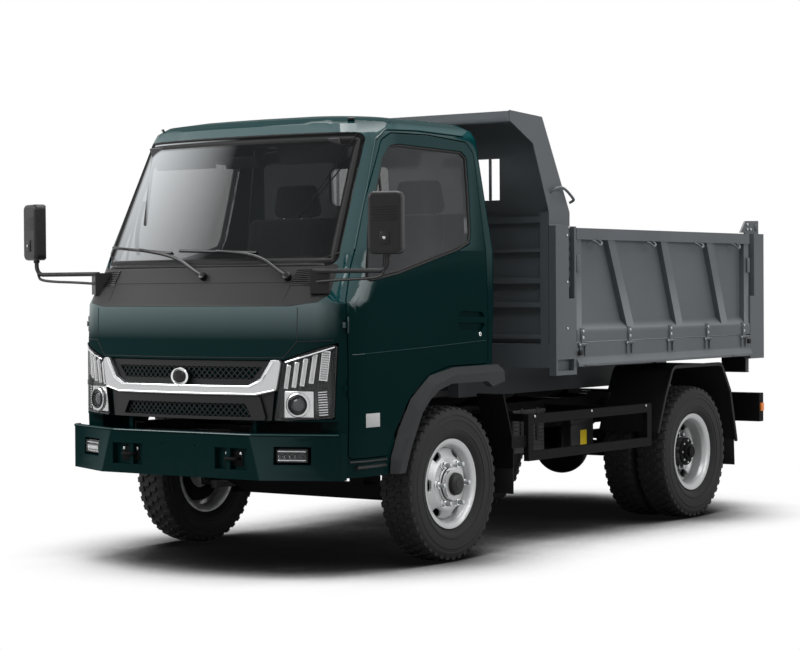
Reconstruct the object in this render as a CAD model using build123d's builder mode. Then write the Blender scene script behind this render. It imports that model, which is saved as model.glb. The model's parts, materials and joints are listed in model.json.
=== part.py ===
"""Light tipping lorry: a forward-control cab, a ladder frame and a steel drop-side tipping bed.

Millimetres. +Z is up, the truck drives towards -Y and its left-hand side is +X.
The origin is on the ground, under the middle of the truck's bounding box.
Left-hand pieces are modelled and mirrored where the truck has the same piece on both sides.
"""
import os
from math import atan2, cos, degrees, hypot, radians, sin, sqrt

from build123d import *

# ------------------------------------------------------------------ overall
wheelbase = 2507
front_overhang = 1065
rear_overhang = 960
length = front_overhang + wheelbase + rear_overhang
front_axle_y = front_overhang - length / 2
rear_axle_y = front_axle_y + wheelbase
seam = 6  # gap round a door or a gate
touch = 0.3  # air between two pieces that seat on each other

# ------------------------------------------------------------------ wheels
tyre_radius = 390
tyre_sides = 48
bead_radius = 205
rim_radius = 226
rim_width = 150
front_wheel_x = 801
rear_outer_x = 830
rear_inner_x = 606
hub_bore = 82
hand_hole_count = 6
hand_hole_length = 62
hand_hole_width = 34
hand_hole_circle = 322
axle_height = tyre_radius
kingpin_x = 672
kingpin_radius = 17
knuckle_height = 150
spindle_radius = 32
spindle_end = 860
running_fit = 0.05
steer_arm_length = 165
steer_arm_drop = 84
steer_arm_thickness = 20
ball_radius = 10
tie_rod_radius = 13

# ------------------------------------------------------------------ frame
rail_x = 375
rail_height = 160
rail_flange = 62
rail_wall = 8
rail_bottom = 560
rail_top = rail_bottom + rail_height
rail_front = front_axle_y - 960
rail_rear = rear_axle_y + 830
crossmember_height = 90
crossmember_width = 80
spring_width = 60
spring_leaf = 9
leaf_count = 6
spring_x = rail_x - 36

# ------------------------------------------------------------------ bed
bed_half_width = 945
bed_front = front_axle_y + 902
bed_rear = front_axle_y + 3382
floor_top = 1066
floor_plate = 6
bearer_height = 80
bearer_width = 60
bearer_count = 7
subframe_x = 260
subframe_width = 70
subframe_bottom = rail_top + 46
sill_bottom = 941
sill_top = 1069
gate_bottom = 1075
gate_top = 1692
gate_front = front_axle_y + 1120
gate_rear = front_axle_y + 3188
gate_depth = 48
gate_hinge_x = bed_half_width + 9
gate_hinge_z = 1060
gate_hinge_places = [1171, 1686, 2165, 2624, 3097]
gate_knuckle_radius = 8
gate_pin_radius = 4.5
post_front = front_axle_y + 902
post_rear_front = front_axle_y + 3194
post_depth = 44
ledge_reach = 15
hinge_y = front_axle_y + 3200
hinge_z = 760
hinge_pin_radius = 18
tailgate_pin_radius = 12
tailgate_pin_z = 1735
tailgate_pin_y = bed_rear - 40

# ------------------------------------------------------------------ hoist
hoist_base_y = front_axle_y + 1350
hoist_base_z = 640
hoist_eye_y = front_axle_y + 2300
hoist_eye_z = 880
barrel_radius = 52
rod_radius = 30
hoist_pin_radius = 17

# ------------------------------------------------------------------ cab
wall = 42
glass = 6
glass_inset = 14
nose_radius = 2500
corner_radius = 290
back_radius = 55
cab_gap = 745  # height of the cab's underside above the frame
platform_height = 1010
footwell_height = 800
arch_height = 895
arch_front = front_axle_y - 459
sill_height = 473
side_step_x = 705
cab_pivot_y = front_axle_y - 930
cab_pivot_z = 700
door_hinge_x = 836
door_hinge_y = front_axle_y - 793
door_hinge_places = [900, 1200]
door_knuckle_radius = 8
door_knuckle_height = 26
door_pin_radius = 4

# height, half width, nose and back measured from the front axle
cab_rows = [
    (sill_height, 850, -1035, 445),
    (cab_gap, 860, -1035, 445),
    (1033, 860, -1031, 447),
    (1300, 860, -1017, 460),
    (1470, 853, -905, 474),
    (1560, 849, -864, 476),
    (2135, 762, -609, 452),
    (2180, 745, -588, 430),
    (2212, 695, -545, 380),
    (2232, 570, -430, 250),
]


def save(part, name):
    part.label = name
    export_step(part, f"parts/{name}.step")


def cab_outline(row, inset):
    """Closed plan of the cab at one height: bowed front, rounded corners, flat sides and back."""
    height, half_width, nose, back = row
    bow = nose_radius - inset
    corner = corner_radius - inset
    rear = back_radius - inset
    side = half_width - inset
    back_y = front_axle_y + back - inset
    bow_centre = front_axle_y + nose + nose_radius
    corner_x = half_width - corner_radius
    corner_y = bow_centre - sqrt((nose_radius - corner_radius) ** 2 - corner_x**2)
    reach = hypot(corner_x, bow_centre - corner_y)
    tangent_x = corner_x / reach * bow
    tangent_y = bow_centre - (bow_centre - corner_y) / reach * bow
    half_turn = (atan2(corner_x, bow_centre - corner_y) + radians(90)) / 2
    corner_mid = (corner_x + corner * sin(half_turn), corner_y - corner * cos(half_turn))
    nose_mid = (0, bow_centre - bow)
    rear_mid = (side - rear * (1 - sin(radians(45))), back_y - rear * (1 - sin(radians(45))))
    with BuildSketch(Plane.XY.offset(height), mode=Mode.PRIVATE) as outline:
        with BuildLine():
            ThreePointArc((-tangent_x, tangent_y), nose_mid, (tangent_x, tangent_y))
            ThreePointArc((tangent_x, tangent_y), corner_mid, (side, corner_y))
            Line((side, corner_y), (side, back_y - rear))
            ThreePointArc((side, back_y - rear), rear_mid, (side - rear, back_y))
            Line((side - rear, back_y), (rear - side, back_y))
            ThreePointArc((rear - side, back_y), (-rear_mid[0], rear_mid[1]), (-side, back_y - rear))
            Line((-side, back_y - rear), (-side, corner_y))
            ThreePointArc((-side, corner_y), (-corner_mid[0], corner_mid[1]), (-tangent_x, tangent_y))
        make_face()
    return outline.sketch


def cab_solid(inset, first=0, drop=0):
    """The cab's outer form, or the form that lies inset inside it, its top lowered by drop."""
    rows = [*cab_rows[first:-1], (cab_rows[-1][0] - drop, *cab_rows[-1][1:])]
    with BuildPart() as form:
        loft([cab_outline(row, inset) for row in rows], ruled=True)
    return form.part


def side_prism(outline, inner_x, outer_x, grow=0):
    """Bar along X whose side view is a polygon with rounded corners."""
    points = [(front_axle_y + y, z) for y, z, radius in outline]
    radii = [radius for y, z, radius in outline]
    with BuildPart() as prism:
        with BuildSketch(Plane.YZ.offset(inner_x)) as view:
            with BuildLine():
                FilletPolyline(points, radius=radii, close=True)
            make_face()
            if grow:
                offset(amount=grow)
        extrude(amount=outer_x - inner_x)
    return prism.part


def front_prism(points, radius, near_y, far_y):
    """Bar along Y whose front view is a polygon of (x, z), mirrored about the middle."""
    outline = [*points, *[(-x, z) for x, z in reversed(points)]]
    with BuildPart() as prism:
        with BuildSketch(Plane.XZ.offset(-near_y)) as view:
            with BuildLine():
                FilletPolyline(outline, radius=radius, close=True)
            make_face()
        extrude(amount=near_y - far_y)
    return prism.part


def bowed_slab(near, far, bottom, top):
    """Upright wall that follows the cab's front, from near to far inside its surface."""
    with BuildPart() as slab:
        extrude(cab_outline((bottom, *cab_rows[1][1:]), near), amount=top - bottom)
        extrude(cab_outline((bottom, *cab_rows[1][1:]), far), amount=top - bottom, mode=Mode.SUBTRACT)
        with Locations((0, front_axle_y + 600, (bottom + top) / 2)):
            Box(3000, 2600, top - bottom, mode=Mode.SUBTRACT)
    return slab.part


# ------------------------------------------------------------------ cab outlines
# y from the front axle, height, corner radius
door_outline = [
    (-790, 566, 20), (-512, 566, 20), (-470, 655, 60), (-338, 830, 200), (-165, 948, 200), (12, 982, 60),
    (365, 985, 8), (372, 2065, 45), (315, 2118, 30), (-20, 2138, 100), (-330, 2133, 30), (-392, 2098, 60),
    (-564, 1791, 200), (-706, 1491, 100), (-790, 1310, 60),
]
window_outline = [
    (-670, 1415, 8), (-633, 1404, 20), (-406, 1438, 60), (-145, 1498, 60), (126, 1560, 60), (232, 1592, 20),
    (258, 1648, 20), (290, 1864, 60), (310, 2040, 25), (266, 2072, 20), (-277, 2084, 60), (-355, 2074, 30),
    (-415, 2010, 30), (-501, 1840, 60), (-591, 1669, 60),
]
# side views of the wheel arch flare: the joint with the panel, the outer ridge, and the lower edge they share
flare_joint = [(-505, 474), (-494, 558), (-430, 688), (-324, 832), (-160, 940), (50, 974), (462, 977)]
flare_ridge = [(-476, 474), (-450, 530), (-400, 628), (-312, 768), (-166, 892), (7, 937), (462, 943)]
flare_lower = [(470, 886), (354, 864), (308, 892), (-20, 892), (-125, 866), (-208, 820), (-274, 762), (-366, 606), (-424, 474)]
flare_x = 900
# recess of the outer door handle, and the handle's bar across it
handle_recess_outline = [(92, 1160, 30), (340, 1150, 30), (335, 1248, 30), (105, 1256, 30)]
handle_outline = [(86, 1198, 8), (344, 1192, 8), (344, 1222, 8), (86, 1228, 8)]
handle_recess_depth = 16
# x, height
screen_outline = [(748, 1480), (698, 2136)]
rear_window_outline = [(200, 1822), (200, 2022)]
cowl_outline = [(600, 1290), (725, 1308), (760, 1345), (752, 1490)]

# front recess for grille and lamps, and one lamp
front_recess_depth = 30
front_opening_outline = [(575, 1036), (806, 1118), (796, 755), (522, 742)]
lamp_outline = [(577, 1030), (802, 1111), (793, 760), (530, 747)]

outer = cab_solid(0)
inner = cab_solid(wall, drop=wall)
lining = cab_solid(wall + touch, drop=wall + touch)
door_block = side_prism(door_outline, 500, 1000)
door_hole_block = side_prism(door_outline, 500, 1000, seam)
screen_block = front_prism(screen_outline, 45, front_axle_y - 1200, front_axle_y - 380)
rear_window_block = front_prism(rear_window_outline, 35, front_axle_y + 380, front_axle_y + 520)
cowl_block = front_prism(cowl_outline, 20, front_axle_y - 1200, front_axle_y - 757)
platform_front_y = front_axle_y - 470

with BuildPart() as front_recess:
    add(bowed_slab(-20, front_recess_depth, 740, 1124))
    add(front_prism(front_opening_outline, 4, front_axle_y - 1200, front_axle_y - 800), mode=Mode.INTERSECT)

with BuildPart() as cavity:
    add(inner)
    with Locations((0, platform_front_y + 600, (sill_height + platform_height) / 2 - 50)):
        Box(2000, 1200, platform_height - sill_height + 100, mode=Mode.SUBTRACT)
    with Locations((0, front_axle_y - 600, (sill_height + footwell_height) / 2 - 50)):
        Box(2000, 1100, footwell_height - sill_height + 100, mode=Mode.SUBTRACT)

step_size = (860 - side_step_x - wall - 15, 250, footwell_height - sill_height - 40)
with BuildPart() as cab_shell:
    add(outer)
    add(cavity.part, mode=Mode.SUBTRACT)
    with Locations((0, front_axle_y - 600, cab_gap - 200)):
        Box(2 * side_step_x, 1300, 400, mode=Mode.SUBTRACT)
    with Locations((0, front_axle_y - 1100, cab_gap - 200)):
        Box(2000, 2 * (1100 - 840), 400, mode=Mode.SUBTRACT)
    with Locations((0, arch_front + 600, arch_height - 300)):
        Box(2000, 1200, 600, mode=Mode.SUBTRACT)
    for side in (-1, 1):
        with Locations((side * (side_step_x + 15 + step_size[0] / 2), front_axle_y - 660, footwell_height - step_size[2] / 2 + 1)):
            Box(*step_size, mode=Mode.SUBTRACT)
    add(door_hole_block, mode=Mode.SUBTRACT)
    add(mirror(door_hole_block, about=Plane.YZ), mode=Mode.SUBTRACT)
    add(screen_block, mode=Mode.SUBTRACT)
    add(rear_window_block, mode=Mode.SUBTRACT)
    add(cowl_block, mode=Mode.SUBTRACT)
    add(front_recess.part, mode=Mode.SUBTRACT)
    for side in (-1, 1):
        with Locations((side * (rail_x + 22), cab_pivot_y, (cab_pivot_z + cab_gap) / 2)):
            Box(24, 70, cab_gap - cab_pivot_z)
        with Locations((side * (rail_x + 22), cab_pivot_y, cab_pivot_z)):
            Cylinder(35, 24, rotation=(0, 90, 0))
    with Locations((0, cab_pivot_y, cab_pivot_z)):
        Cylinder(hinge_pin_radius + running_fit, 900, rotation=(0, 90, 0), mode=Mode.SUBTRACT)
    for place in door_hinge_places:
        for side in (-1, 1):
            with Locations((side * door_hinge_x, door_hinge_y, place)):
                Cylinder(door_knuckle_radius + 2, 3 * door_knuckle_height + 4, mode=Mode.SUBTRACT)
                Cylinder(door_knuckle_radius, door_knuckle_height)
                Cylinder(door_pin_radius, 3 * door_knuckle_height)
            with Locations((side * (door_hinge_x - 10), door_hinge_y - 13, place)):
                Box(16, 20, door_knuckle_height)
save(cab_shell.part, "cab_shell")

with BuildPart() as pane_shell:
    add(cab_solid(glass_inset))
    add(cab_solid(glass_inset + glass), mode=Mode.SUBTRACT)
with BuildPart() as cab_glass_openings:
    add(screen_block)
    add(rear_window_block)
with BuildPart() as cab_glass:
    add(pane_shell.part)
    add(cab_glass_openings.part, mode=Mode.INTERSECT)
save(cab_glass.part, "cab_glass")

with BuildPart() as cowl_panel:
    add(outer)
    add(inner, mode=Mode.SUBTRACT)
    add(cowl_block, mode=Mode.INTERSECT)
    add(screen_block, mode=Mode.SUBTRACT)
save(cowl_panel.part, "cowl_panel")

with BuildPart() as door_left:
    add(outer)
    add(inner, mode=Mode.SUBTRACT)
    add(door_block, mode=Mode.INTERSECT)
    add(side_prism(window_outline, 500, 1000), mode=Mode.SUBTRACT)
    add(side_prism(handle_recess_outline, 860 - handle_recess_depth, 1000), mode=Mode.SUBTRACT)
    add(side_prism(handle_outline, 860 - handle_recess_depth - 2, 860))
    for place in door_hinge_places:
        with Locations((door_hinge_x, door_hinge_y, place)):
            Cylinder(door_knuckle_radius + 2, door_knuckle_height + 4, mode=Mode.SUBTRACT)
            with Locations((0, 0, door_knuckle_height + 1), (0, 0, -door_knuckle_height - 1)):
                Cylinder(door_knuckle_radius, door_knuckle_height - 2)
            with Locations((-8, 11, door_knuckle_height + 1), (-8, 11, -door_knuckle_height - 1)):
                Box(18, 14, door_knuckle_height - 2)
            Cylinder(door_pin_radius + running_fit, 4 * door_knuckle_height, mode=Mode.SUBTRACT)
save(door_left.part, "door_left")
with BuildPart() as door_right:
    mirror(door_left.part, about=Plane.YZ)
save(door_right.part, "door_right")

with BuildPart() as door_glass_left:
    add(pane_shell.part)
    add(side_prism(window_outline, 500, 1000, -0.2), mode=Mode.INTERSECT)
save(door_glass_left.part, "door_glass_left")
with BuildPart() as door_glass_right:
    mirror(door_glass_left.part, about=Plane.YZ)
save(door_glass_right.part, "door_glass_right")

with BuildPart() as arch_flares:
    for ridge, x in ((flare_joint, 860 + touch), (flare_ridge, flare_x)):
        with BuildSketch(Plane.YZ.offset(x)):
            with BuildLine():
                Polyline(*[(front_axle_y + y, z) for y, z in ridge + flare_lower], close=True)
            make_face()
    loft(ruled=True)
    mirror(about=Plane.YZ)
save(arch_flares.part, "arch_flares")


def front_cut(points, radius):
    """Bar along Y with the front view of a closed polygon, for trimming a bowed slab."""
    with BuildPart() as bar:
        with BuildSketch(Plane.XZ.offset(-(front_axle_y - 800))) as view:
            with BuildLine():
                FilletPolyline(points, radius=radius, close=True)
            make_face()
        extrude(amount=400)
    return bar.part


grille_outline = [(-560, 1030), (560, 1030), (522, 900), (505, 746), (-505, 746), (-522, 900)]
bar_outline = [
    (-572, 1036), (-520, 1036), (-462, 945), (-400, 915), (400, 915), (462, 945), (520, 1036), (572, 1036),
    (545, 890), (440, 867), (-440, 867), (-545, 890),
]
lower_mesh_outline = [(-372, 826), (372, 826), (410, 762), (-410, 762)]
upper_mesh_outline = [(-458, 1002), (458, 1002), (410, 942), (-410, 942)]
lower_frame_outline = [(-452, 862), (452, 862), (486, 748), (-486, 748)]
diamond_pitch = 32
diamond_rib = 4
diamond_radius = (diamond_pitch - diamond_rib * sqrt(2)) / 2
with BuildPart() as lattice:
    for outline, middle in ((lower_mesh_outline, 794), (upper_mesh_outline, 972)):
        with BuildSketch(Plane.XZ.offset(-(front_axle_y - 800))):
            with BuildLine():
                Polyline(*outline, close=True)
            make_face()
            offset(amount=5, kind=Kind.INTERSECTION)
            with Locations((0, middle)):
                with GridLocations(diamond_pitch, diamond_pitch, 31, 3):
                    RegularPolygon(diamond_radius, 4, mode=Mode.SUBTRACT)
                with GridLocations(diamond_pitch, diamond_pitch, 30, 4):
                    RegularPolygon(diamond_radius, 4, mode=Mode.SUBTRACT)
        extrude(amount=400)
with BuildPart() as mesh_sheet:
    add(bowed_slab(18, 23, 740, 1020))
    add(lattice.part, mode=Mode.INTERSECT)
with BuildPart() as lower_frame:
    add(bowed_slab(2, 17, 740, 870))
    add(front_cut(lower_frame_outline, 14), mode=Mode.INTERSECT)
with BuildPart() as grille:
    add(bowed_slab(16, front_recess_depth - touch, 740, 1036))
    add(front_cut(grille_outline, 10), mode=Mode.INTERSECT)
    add(lower_frame.part)
    add(front_cut(upper_mesh_outline, 6), mode=Mode.SUBTRACT)
    add(front_cut(lower_mesh_outline, 6), mode=Mode.SUBTRACT)
    add(mesh_sheet.part)
save(grille.part, "grille")

with BuildPart() as grille_bar:
    add(bowed_slab(-10, 15.7, 740, 1040))
    add(front_cut(bar_outline, 18), mode=Mode.INTERSECT)
save(grille_bar.part, "grille_bar")

with BuildPart() as headlamps:
    add(bowed_slab(0, front_recess_depth - touch, 740, 1124))
    add(front_cut(lamp_outline, 12), mode=Mode.INTERSECT)
    mirror(about=Plane.YZ)
save(headlamps.part, "headlamps")

mirror_head_size = (165, 62, 290)
mirror_head_centre = (1130, front_axle_y - 893, 1675)
mirror_turn = 23
arm_radius = 11
arm_root = (690, front_axle_y - 878, 1455)
arm_bracket_place = (700, front_axle_y - 835, 1405)
arm_bracket_turn = 35
with BuildPart() as mirror_head:
    Box(*mirror_head_size)
    fillet(mirror_head.edges().filter_by(Axis.Y), 30)
    fillet(mirror_head.faces().sort_by(Axis.Y)[0].edges(), 18)
with BuildPart() as mirrors:
    with Locations(Location(mirror_head_centre, (0, 0, mirror_turn))):
        add(mirror_head.part)
    with BuildLine() as arm:
        FilletPolyline(
            arm_root, (mirror_head_centre[0], arm_root[1], arm_root[2]),
            (mirror_head_centre[0], arm_root[1], mirror_head_centre[2] - mirror_head_size[2] / 2 + 10), radius=45)
    with BuildSketch(Plane(origin=arm.line @ 0, z_dir=arm.line % 0)):
        Circle(arm_radius)
    sweep(path=arm.line)
    with Locations(Location(arm_bracket_place, (0, 0, arm_bracket_turn))):
        Box(90, 100, 110)
    add(outer, mode=Mode.SUBTRACT)
    mirror(about=Plane.YZ)
save(mirrors.part, "mirrors")

# ------------------------------------------------------------------ cab inside
wheel_plane = Plane(origin=(400, front_axle_y - 420, 1400), z_dir=(0, 0.6, 0.8))
with BuildPart() as dashboard:
    with BuildSketch(Plane.YZ.offset(-690)) as section:
        with BuildLine():
            FilletPolyline(
                (front_axle_y - 880, 1250), (front_axle_y - 820, 1430), (front_axle_y - 560, 1440),
                (front_axle_y - 520, 1300), (front_axle_y - 620, 1180), radius=25, close=True)
        make_face()
    extrude(amount=1380)
    add(lining, mode=Mode.INTERSECT)
    with Locations(wheel_plane):
        Torus(205, 14)
        Cylinder(45, 30)
        Box(400, 30, 14)
        Cylinder(22, 200, align=(Align.CENTER, Align.CENTER, Align.MAX))
save(dashboard.part, "dashboard")


seat_rows = [(400, 500), (-420, 540)]  # centre x, width
seat_lean = -12
with BuildPart() as seats:
    for seat_x, seat_width in seat_rows:
        with Locations((seat_x, front_axle_y - 60, platform_height + touch + 90)):
            Box(seat_width, 530, 180)
        with Locations(Location((seat_x, front_axle_y + 210, platform_height + 150), (seat_lean, 0, 0))):
            Box(seat_width, 100, 620, align=(Align.CENTER, Align.CENTER, Align.MIN))
        with Locations(Location((seat_x, front_axle_y + 338, platform_height + 745), (seat_lean, 0, 0))):
            Box(250, 80, 190, align=(Align.CENTER, Align.CENTER, Align.MIN))
save(seats.part, "seats")

# ------------------------------------------------------------------ bumper and lamps
def bumper_plan(inset, height, crease_x):
    """Plan of the bumper: flat middle between two creases, raked corners and short side returns."""
    with BuildSketch(Plane.XY.offset(height), mode=Mode.PRIVATE) as plan:
        with BuildLine():
            FilletPolyline(
                (-bumper_half + inset, front_axle_y - 850), (-bumper_half + 6 + inset, front_axle_y - 895 + inset),
                (-crease_x, front_axle_y - front_overhang + inset), (crease_x, front_axle_y - front_overhang + inset),
                (bumper_half - 6 - inset, front_axle_y - 895 + inset), (bumper_half - inset, front_axle_y - 850),
                radius=25)
            Line((bumper_half - inset, front_axle_y - 850), (inset - bumper_half, front_axle_y - 850))
        make_face()
    return plan.sketch


def bumper_form(inset):
    """Bumper's outer form, or the form that lies inset inside it."""
    with BuildPart() as form:
        loft([bumper_plan(inset, bumper_bottom, 506), bumper_plan(inset, bumper_top, 440)], ruled=True)
    return form.part


bumper_half = 862
bumper_bottom = sill_height - 4
bumper_top = 689
bumper_wall = 12
bumper_stay_length = rail_front - touch - (front_axle_y - front_overhang) - bumper_wall / 2
plate_hole_pitch = 210
plate_hole_radius = 3.5
plate_hole_z = 622
tow_recess_x = 331
tow_recess_z = 566
tow_recess_size = (200, 60, 104)
fog_size = (150, 50, 66)
fog_place = (636, front_axle_y - 968, 585)
fog_recess_size = (184, 84, 86)
fog_turn = 23
pocket_wall = 6
with BuildPart() as bumper_pockets:
    with Locations((tow_recess_x, front_axle_y - front_overhang, tow_recess_z)):
        Box(tow_recess_size[0] + 2 * pocket_wall, tow_recess_size[1] + 2 * pocket_wall, tow_recess_size[2] + 2 * pocket_wall)
    with Locations(Location(fog_place, (0, 0, fog_turn))):
        Box(fog_recess_size[0] + 2 * pocket_wall, fog_recess_size[1] + 2 * pocket_wall, fog_recess_size[2] + 2 * pocket_wall)
    add(bumper_form(bumper_wall / 2), mode=Mode.INTERSECT)
    mirror(about=Plane.YZ)
with BuildPart() as front_bumper:
    add(bumper_form(0))
    add(bumper_form(bumper_wall), mode=Mode.SUBTRACT)
    add(bumper_pockets.part)
    for side in (-1, 1):
        with Locations((side * (rail_x - 35), rail_front - touch, 600)):
            Box(50, bumper_stay_length, 70, align=(Align.CENTER, Align.MAX, Align.CENTER))
    for side in (-1, 1):
        with Locations((side * tow_recess_x, front_axle_y - front_overhang, tow_recess_z)):
            Box(*tow_recess_size, mode=Mode.SUBTRACT)
        with Locations(Location((side * fog_place[0], *fog_place[1:]), (0, 0, side * fog_turn))):
            Box(*fog_recess_size, mode=Mode.SUBTRACT)
        with Locations((side * (tow_recess_x - 20), front_axle_y - front_overhang + 5, tow_recess_z)):
            Box(24, 50, tow_recess_size[2] + pocket_wall, align=(Align.CENTER, Align.MIN, Align.CENTER))
    with Locations((plate_hole_pitch / 2, front_axle_y, plate_hole_z), (-plate_hole_pitch / 2, front_axle_y, plate_hole_z)):
        Cylinder(plate_hole_radius, front_overhang + 10, rotation=(90, 0, 0),
                 align=(Align.CENTER, Align.CENTER, Align.MIN), mode=Mode.SUBTRACT)
save(front_bumper.part, "front_bumper")

with BuildPart() as fog_lamps:
    with Locations(Location(fog_place, (0, 0, fog_turn))):
        with Locations((0, fog_recess_size[1] / 2 - touch, 0)):
            Box(*fog_size, align=(Align.CENTER, Align.MAX, Align.CENTER))
    fillet(fog_lamps.edges().filter_by(Axis.Z), 8)
    mirror(about=Plane.YZ)
save(fog_lamps.part, "fog_lamps")

# ------------------------------------------------------------------ frame
def channel(x, front):
    """C-section rail with its open side towards the middle."""
    with BuildSketch(Plane.XZ.offset(-front), mode=Mode.PRIVATE) as section:
        with BuildLine():
            Polyline(
                (x, rail_bottom), (x, rail_top), (x - rail_flange, rail_top),
                (x - rail_flange, rail_top - rail_wall), (x - rail_wall, rail_top - rail_wall),
                (x - rail_wall, rail_bottom + rail_wall), (x - rail_flange, rail_bottom + rail_wall),
                (x - rail_flange, rail_bottom), close=True)
        make_face()
    return section.sketch


crossmember_places = [-880, -480, 1180, 2560, 3120]  # y from the front axle
with BuildPart() as frame_rails:
    extrude(channel(rail_x, rail_front), amount=-(rail_rear - rail_front))
    mirror(about=Plane.YZ)
    for place in crossmember_places:
        with Locations((0, front_axle_y + place, rail_bottom + rail_height / 2)):
            Box(2 * (rail_x - rail_wall), crossmember_width, crossmember_height)
    for side in (-1, 1):
        with Locations((side * (rail_x - 18), hinge_y, rail_top)):
            Box(36, 110, 90)
        with Locations((side * (rail_x - 18), hinge_y, hinge_z)):
            Cylinder(40, 36, rotation=(0, 90, 0))
        with Locations((side * 68, hoist_base_y, hoist_base_z - 25)):
            Box(14, 70, 150)
        with Locations((side * (rail_x + 14), cab_pivot_y, cab_pivot_z)):
            Cylinder(hinge_pin_radius, 46, rotation=(0, 90, 0))
        with Locations((side * (rail_x - 30), front_axle_y + 420, rail_top)):
            Box(60, 60, arch_height - touch - rail_top, align=(Align.CENTER, Align.CENTER, Align.MIN))
        with Locations((side * subframe_x, front_axle_y + 1180, rail_bottom + rail_height / 2)):
            Box(60, 60, 120, align=(Align.CENTER, Align.CENTER, Align.MIN))
    with Locations((0, hinge_y, hinge_z)):
        Cylinder(hinge_pin_radius + running_fit, 900, rotation=(0, 90, 0), mode=Mode.SUBTRACT)
    with Locations((0, hoist_base_y, hoist_base_z - 85)):
        Box(2 * (rail_x - rail_wall), 90, 30)
    with Locations((0, hoist_base_y, hoist_base_z)):
        Cylinder(hoist_pin_radius + running_fit, 200, rotation=(0, 90, 0), mode=Mode.SUBTRACT)
save(frame_rails.part, "frame_rails")

# ------------------------------------------------------------------ axles and springs
spring_seat_z = axle_height + 62
boss_height = 90
boss_radius = 34
with BuildPart() as front_axle:
    with BuildSketch(Plane.XZ.offset(-front_axle_y)) as beam:
        with BuildLine():
            FilletPolyline(
                (-kingpin_x, axle_height + boss_height / 2), (-560, axle_height + 45), (-420, axle_height - 20),
                (420, axle_height - 20), (560, axle_height + 45), (kingpin_x, axle_height + boss_height / 2),
                (kingpin_x, axle_height - boss_height / 2), (560, axle_height - 45), (430, axle_height - 100),
                (-430, axle_height - 100), (-560, axle_height - 45), (-kingpin_x, axle_height - boss_height / 2),
                radius=1, close=True)
        make_face()
    extrude(amount=32, both=True)
    with Locations((kingpin_x, front_axle_y, axle_height), (-kingpin_x, front_axle_y, axle_height)):
        Cylinder(boss_radius, boss_height)
    with Locations((spring_x, front_axle_y, axle_height - 21), (-spring_x, front_axle_y, axle_height - 21)):
        Box(90, 150, spring_seat_z - axle_height + 21 - touch, align=(Align.CENTER, Align.CENTER, Align.MIN))
    with Locations((kingpin_x, front_axle_y, axle_height), (-kingpin_x, front_axle_y, axle_height)):
        Cylinder(kingpin_radius + running_fit, 400, mode=Mode.SUBTRACT)
save(front_axle.part, "front_axle")


def spring_pack(centre_y, half_length, base, eye_height):
    """Leaf pack seen from the side: a stack of leaves that shorten downwards, the longest with eyes."""
    for leaf in range(leaf_count):
        reach = half_length * (1 - leaf / (leaf_count + 1.5))
        height = base + (leaf_count - 1 - leaf) * spring_leaf
        with Locations((spring_x, centre_y, height + spring_leaf / 2)):
            Box(spring_width, 2 * reach, spring_leaf)
    top = base + leaf_count * spring_leaf
    for end in (-1, 1):
        with Locations((spring_x, centre_y + end * half_length, top + 10)):
            Cylinder(24, spring_width, rotation=(0, 90, 0))
        with Locations((spring_x, centre_y + end * half_length, (top + 10 + rail_bottom - touch) / 2)):
            Box(spring_width, 30, rail_bottom - touch - top - 10)


with BuildPart() as leaf_springs:
    spring_pack(front_axle_y, 470, spring_seat_z, rail_bottom)
    spring_pack(rear_axle_y, 520, spring_seat_z + 8, rail_bottom)
    mirror(about=Plane.YZ)
save(leaf_springs.part, "leaf_springs")

with BuildPart() as rear_axle:
    with Locations((0, rear_axle_y, axle_height)):
        Cylinder(48, 2 * 480, rotation=(0, 90, 0))
        Sphere(165)
        Cylinder(spindle_radius, 2 * 905, rotation=(0, 90, 0))
    with Locations((0, rear_axle_y, axle_height)):
        Cylinder(62, 330, rotation=(90, 0, 0), align=(Align.CENTER, Align.CENTER, Align.MIN))
    with Locations((spring_x, rear_axle_y, axle_height), (-spring_x, rear_axle_y, axle_height)):
        Box(96, 150, spring_seat_z + 8 - axle_height - touch, align=(Align.CENTER, Align.CENTER, Align.MIN))
save(rear_axle.part, "rear_axle")

with BuildPart() as engine:
    with Locations((0, front_axle_y - 50, 640)):
        Box(420, 740, 470)
        Box(2 * (rail_x - rail_wall - touch), 70, 50)
    with Locations((0, front_axle_y + 520, 600)):
        Box(300, 420, 260)
    shaft_front = (0, front_axle_y + 730, 560)
    shaft_rear = (0, rear_axle_y - 345, axle_height + 8)
    with BuildLine() as shaft:
        Line(shaft_front, shaft_rear)
    with BuildSketch(Plane(origin=shaft.line @ 0, z_dir=shaft.line % 0)):
        Circle(38)
    sweep(path=shaft.line)
save(engine.part, "engine")

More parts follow.
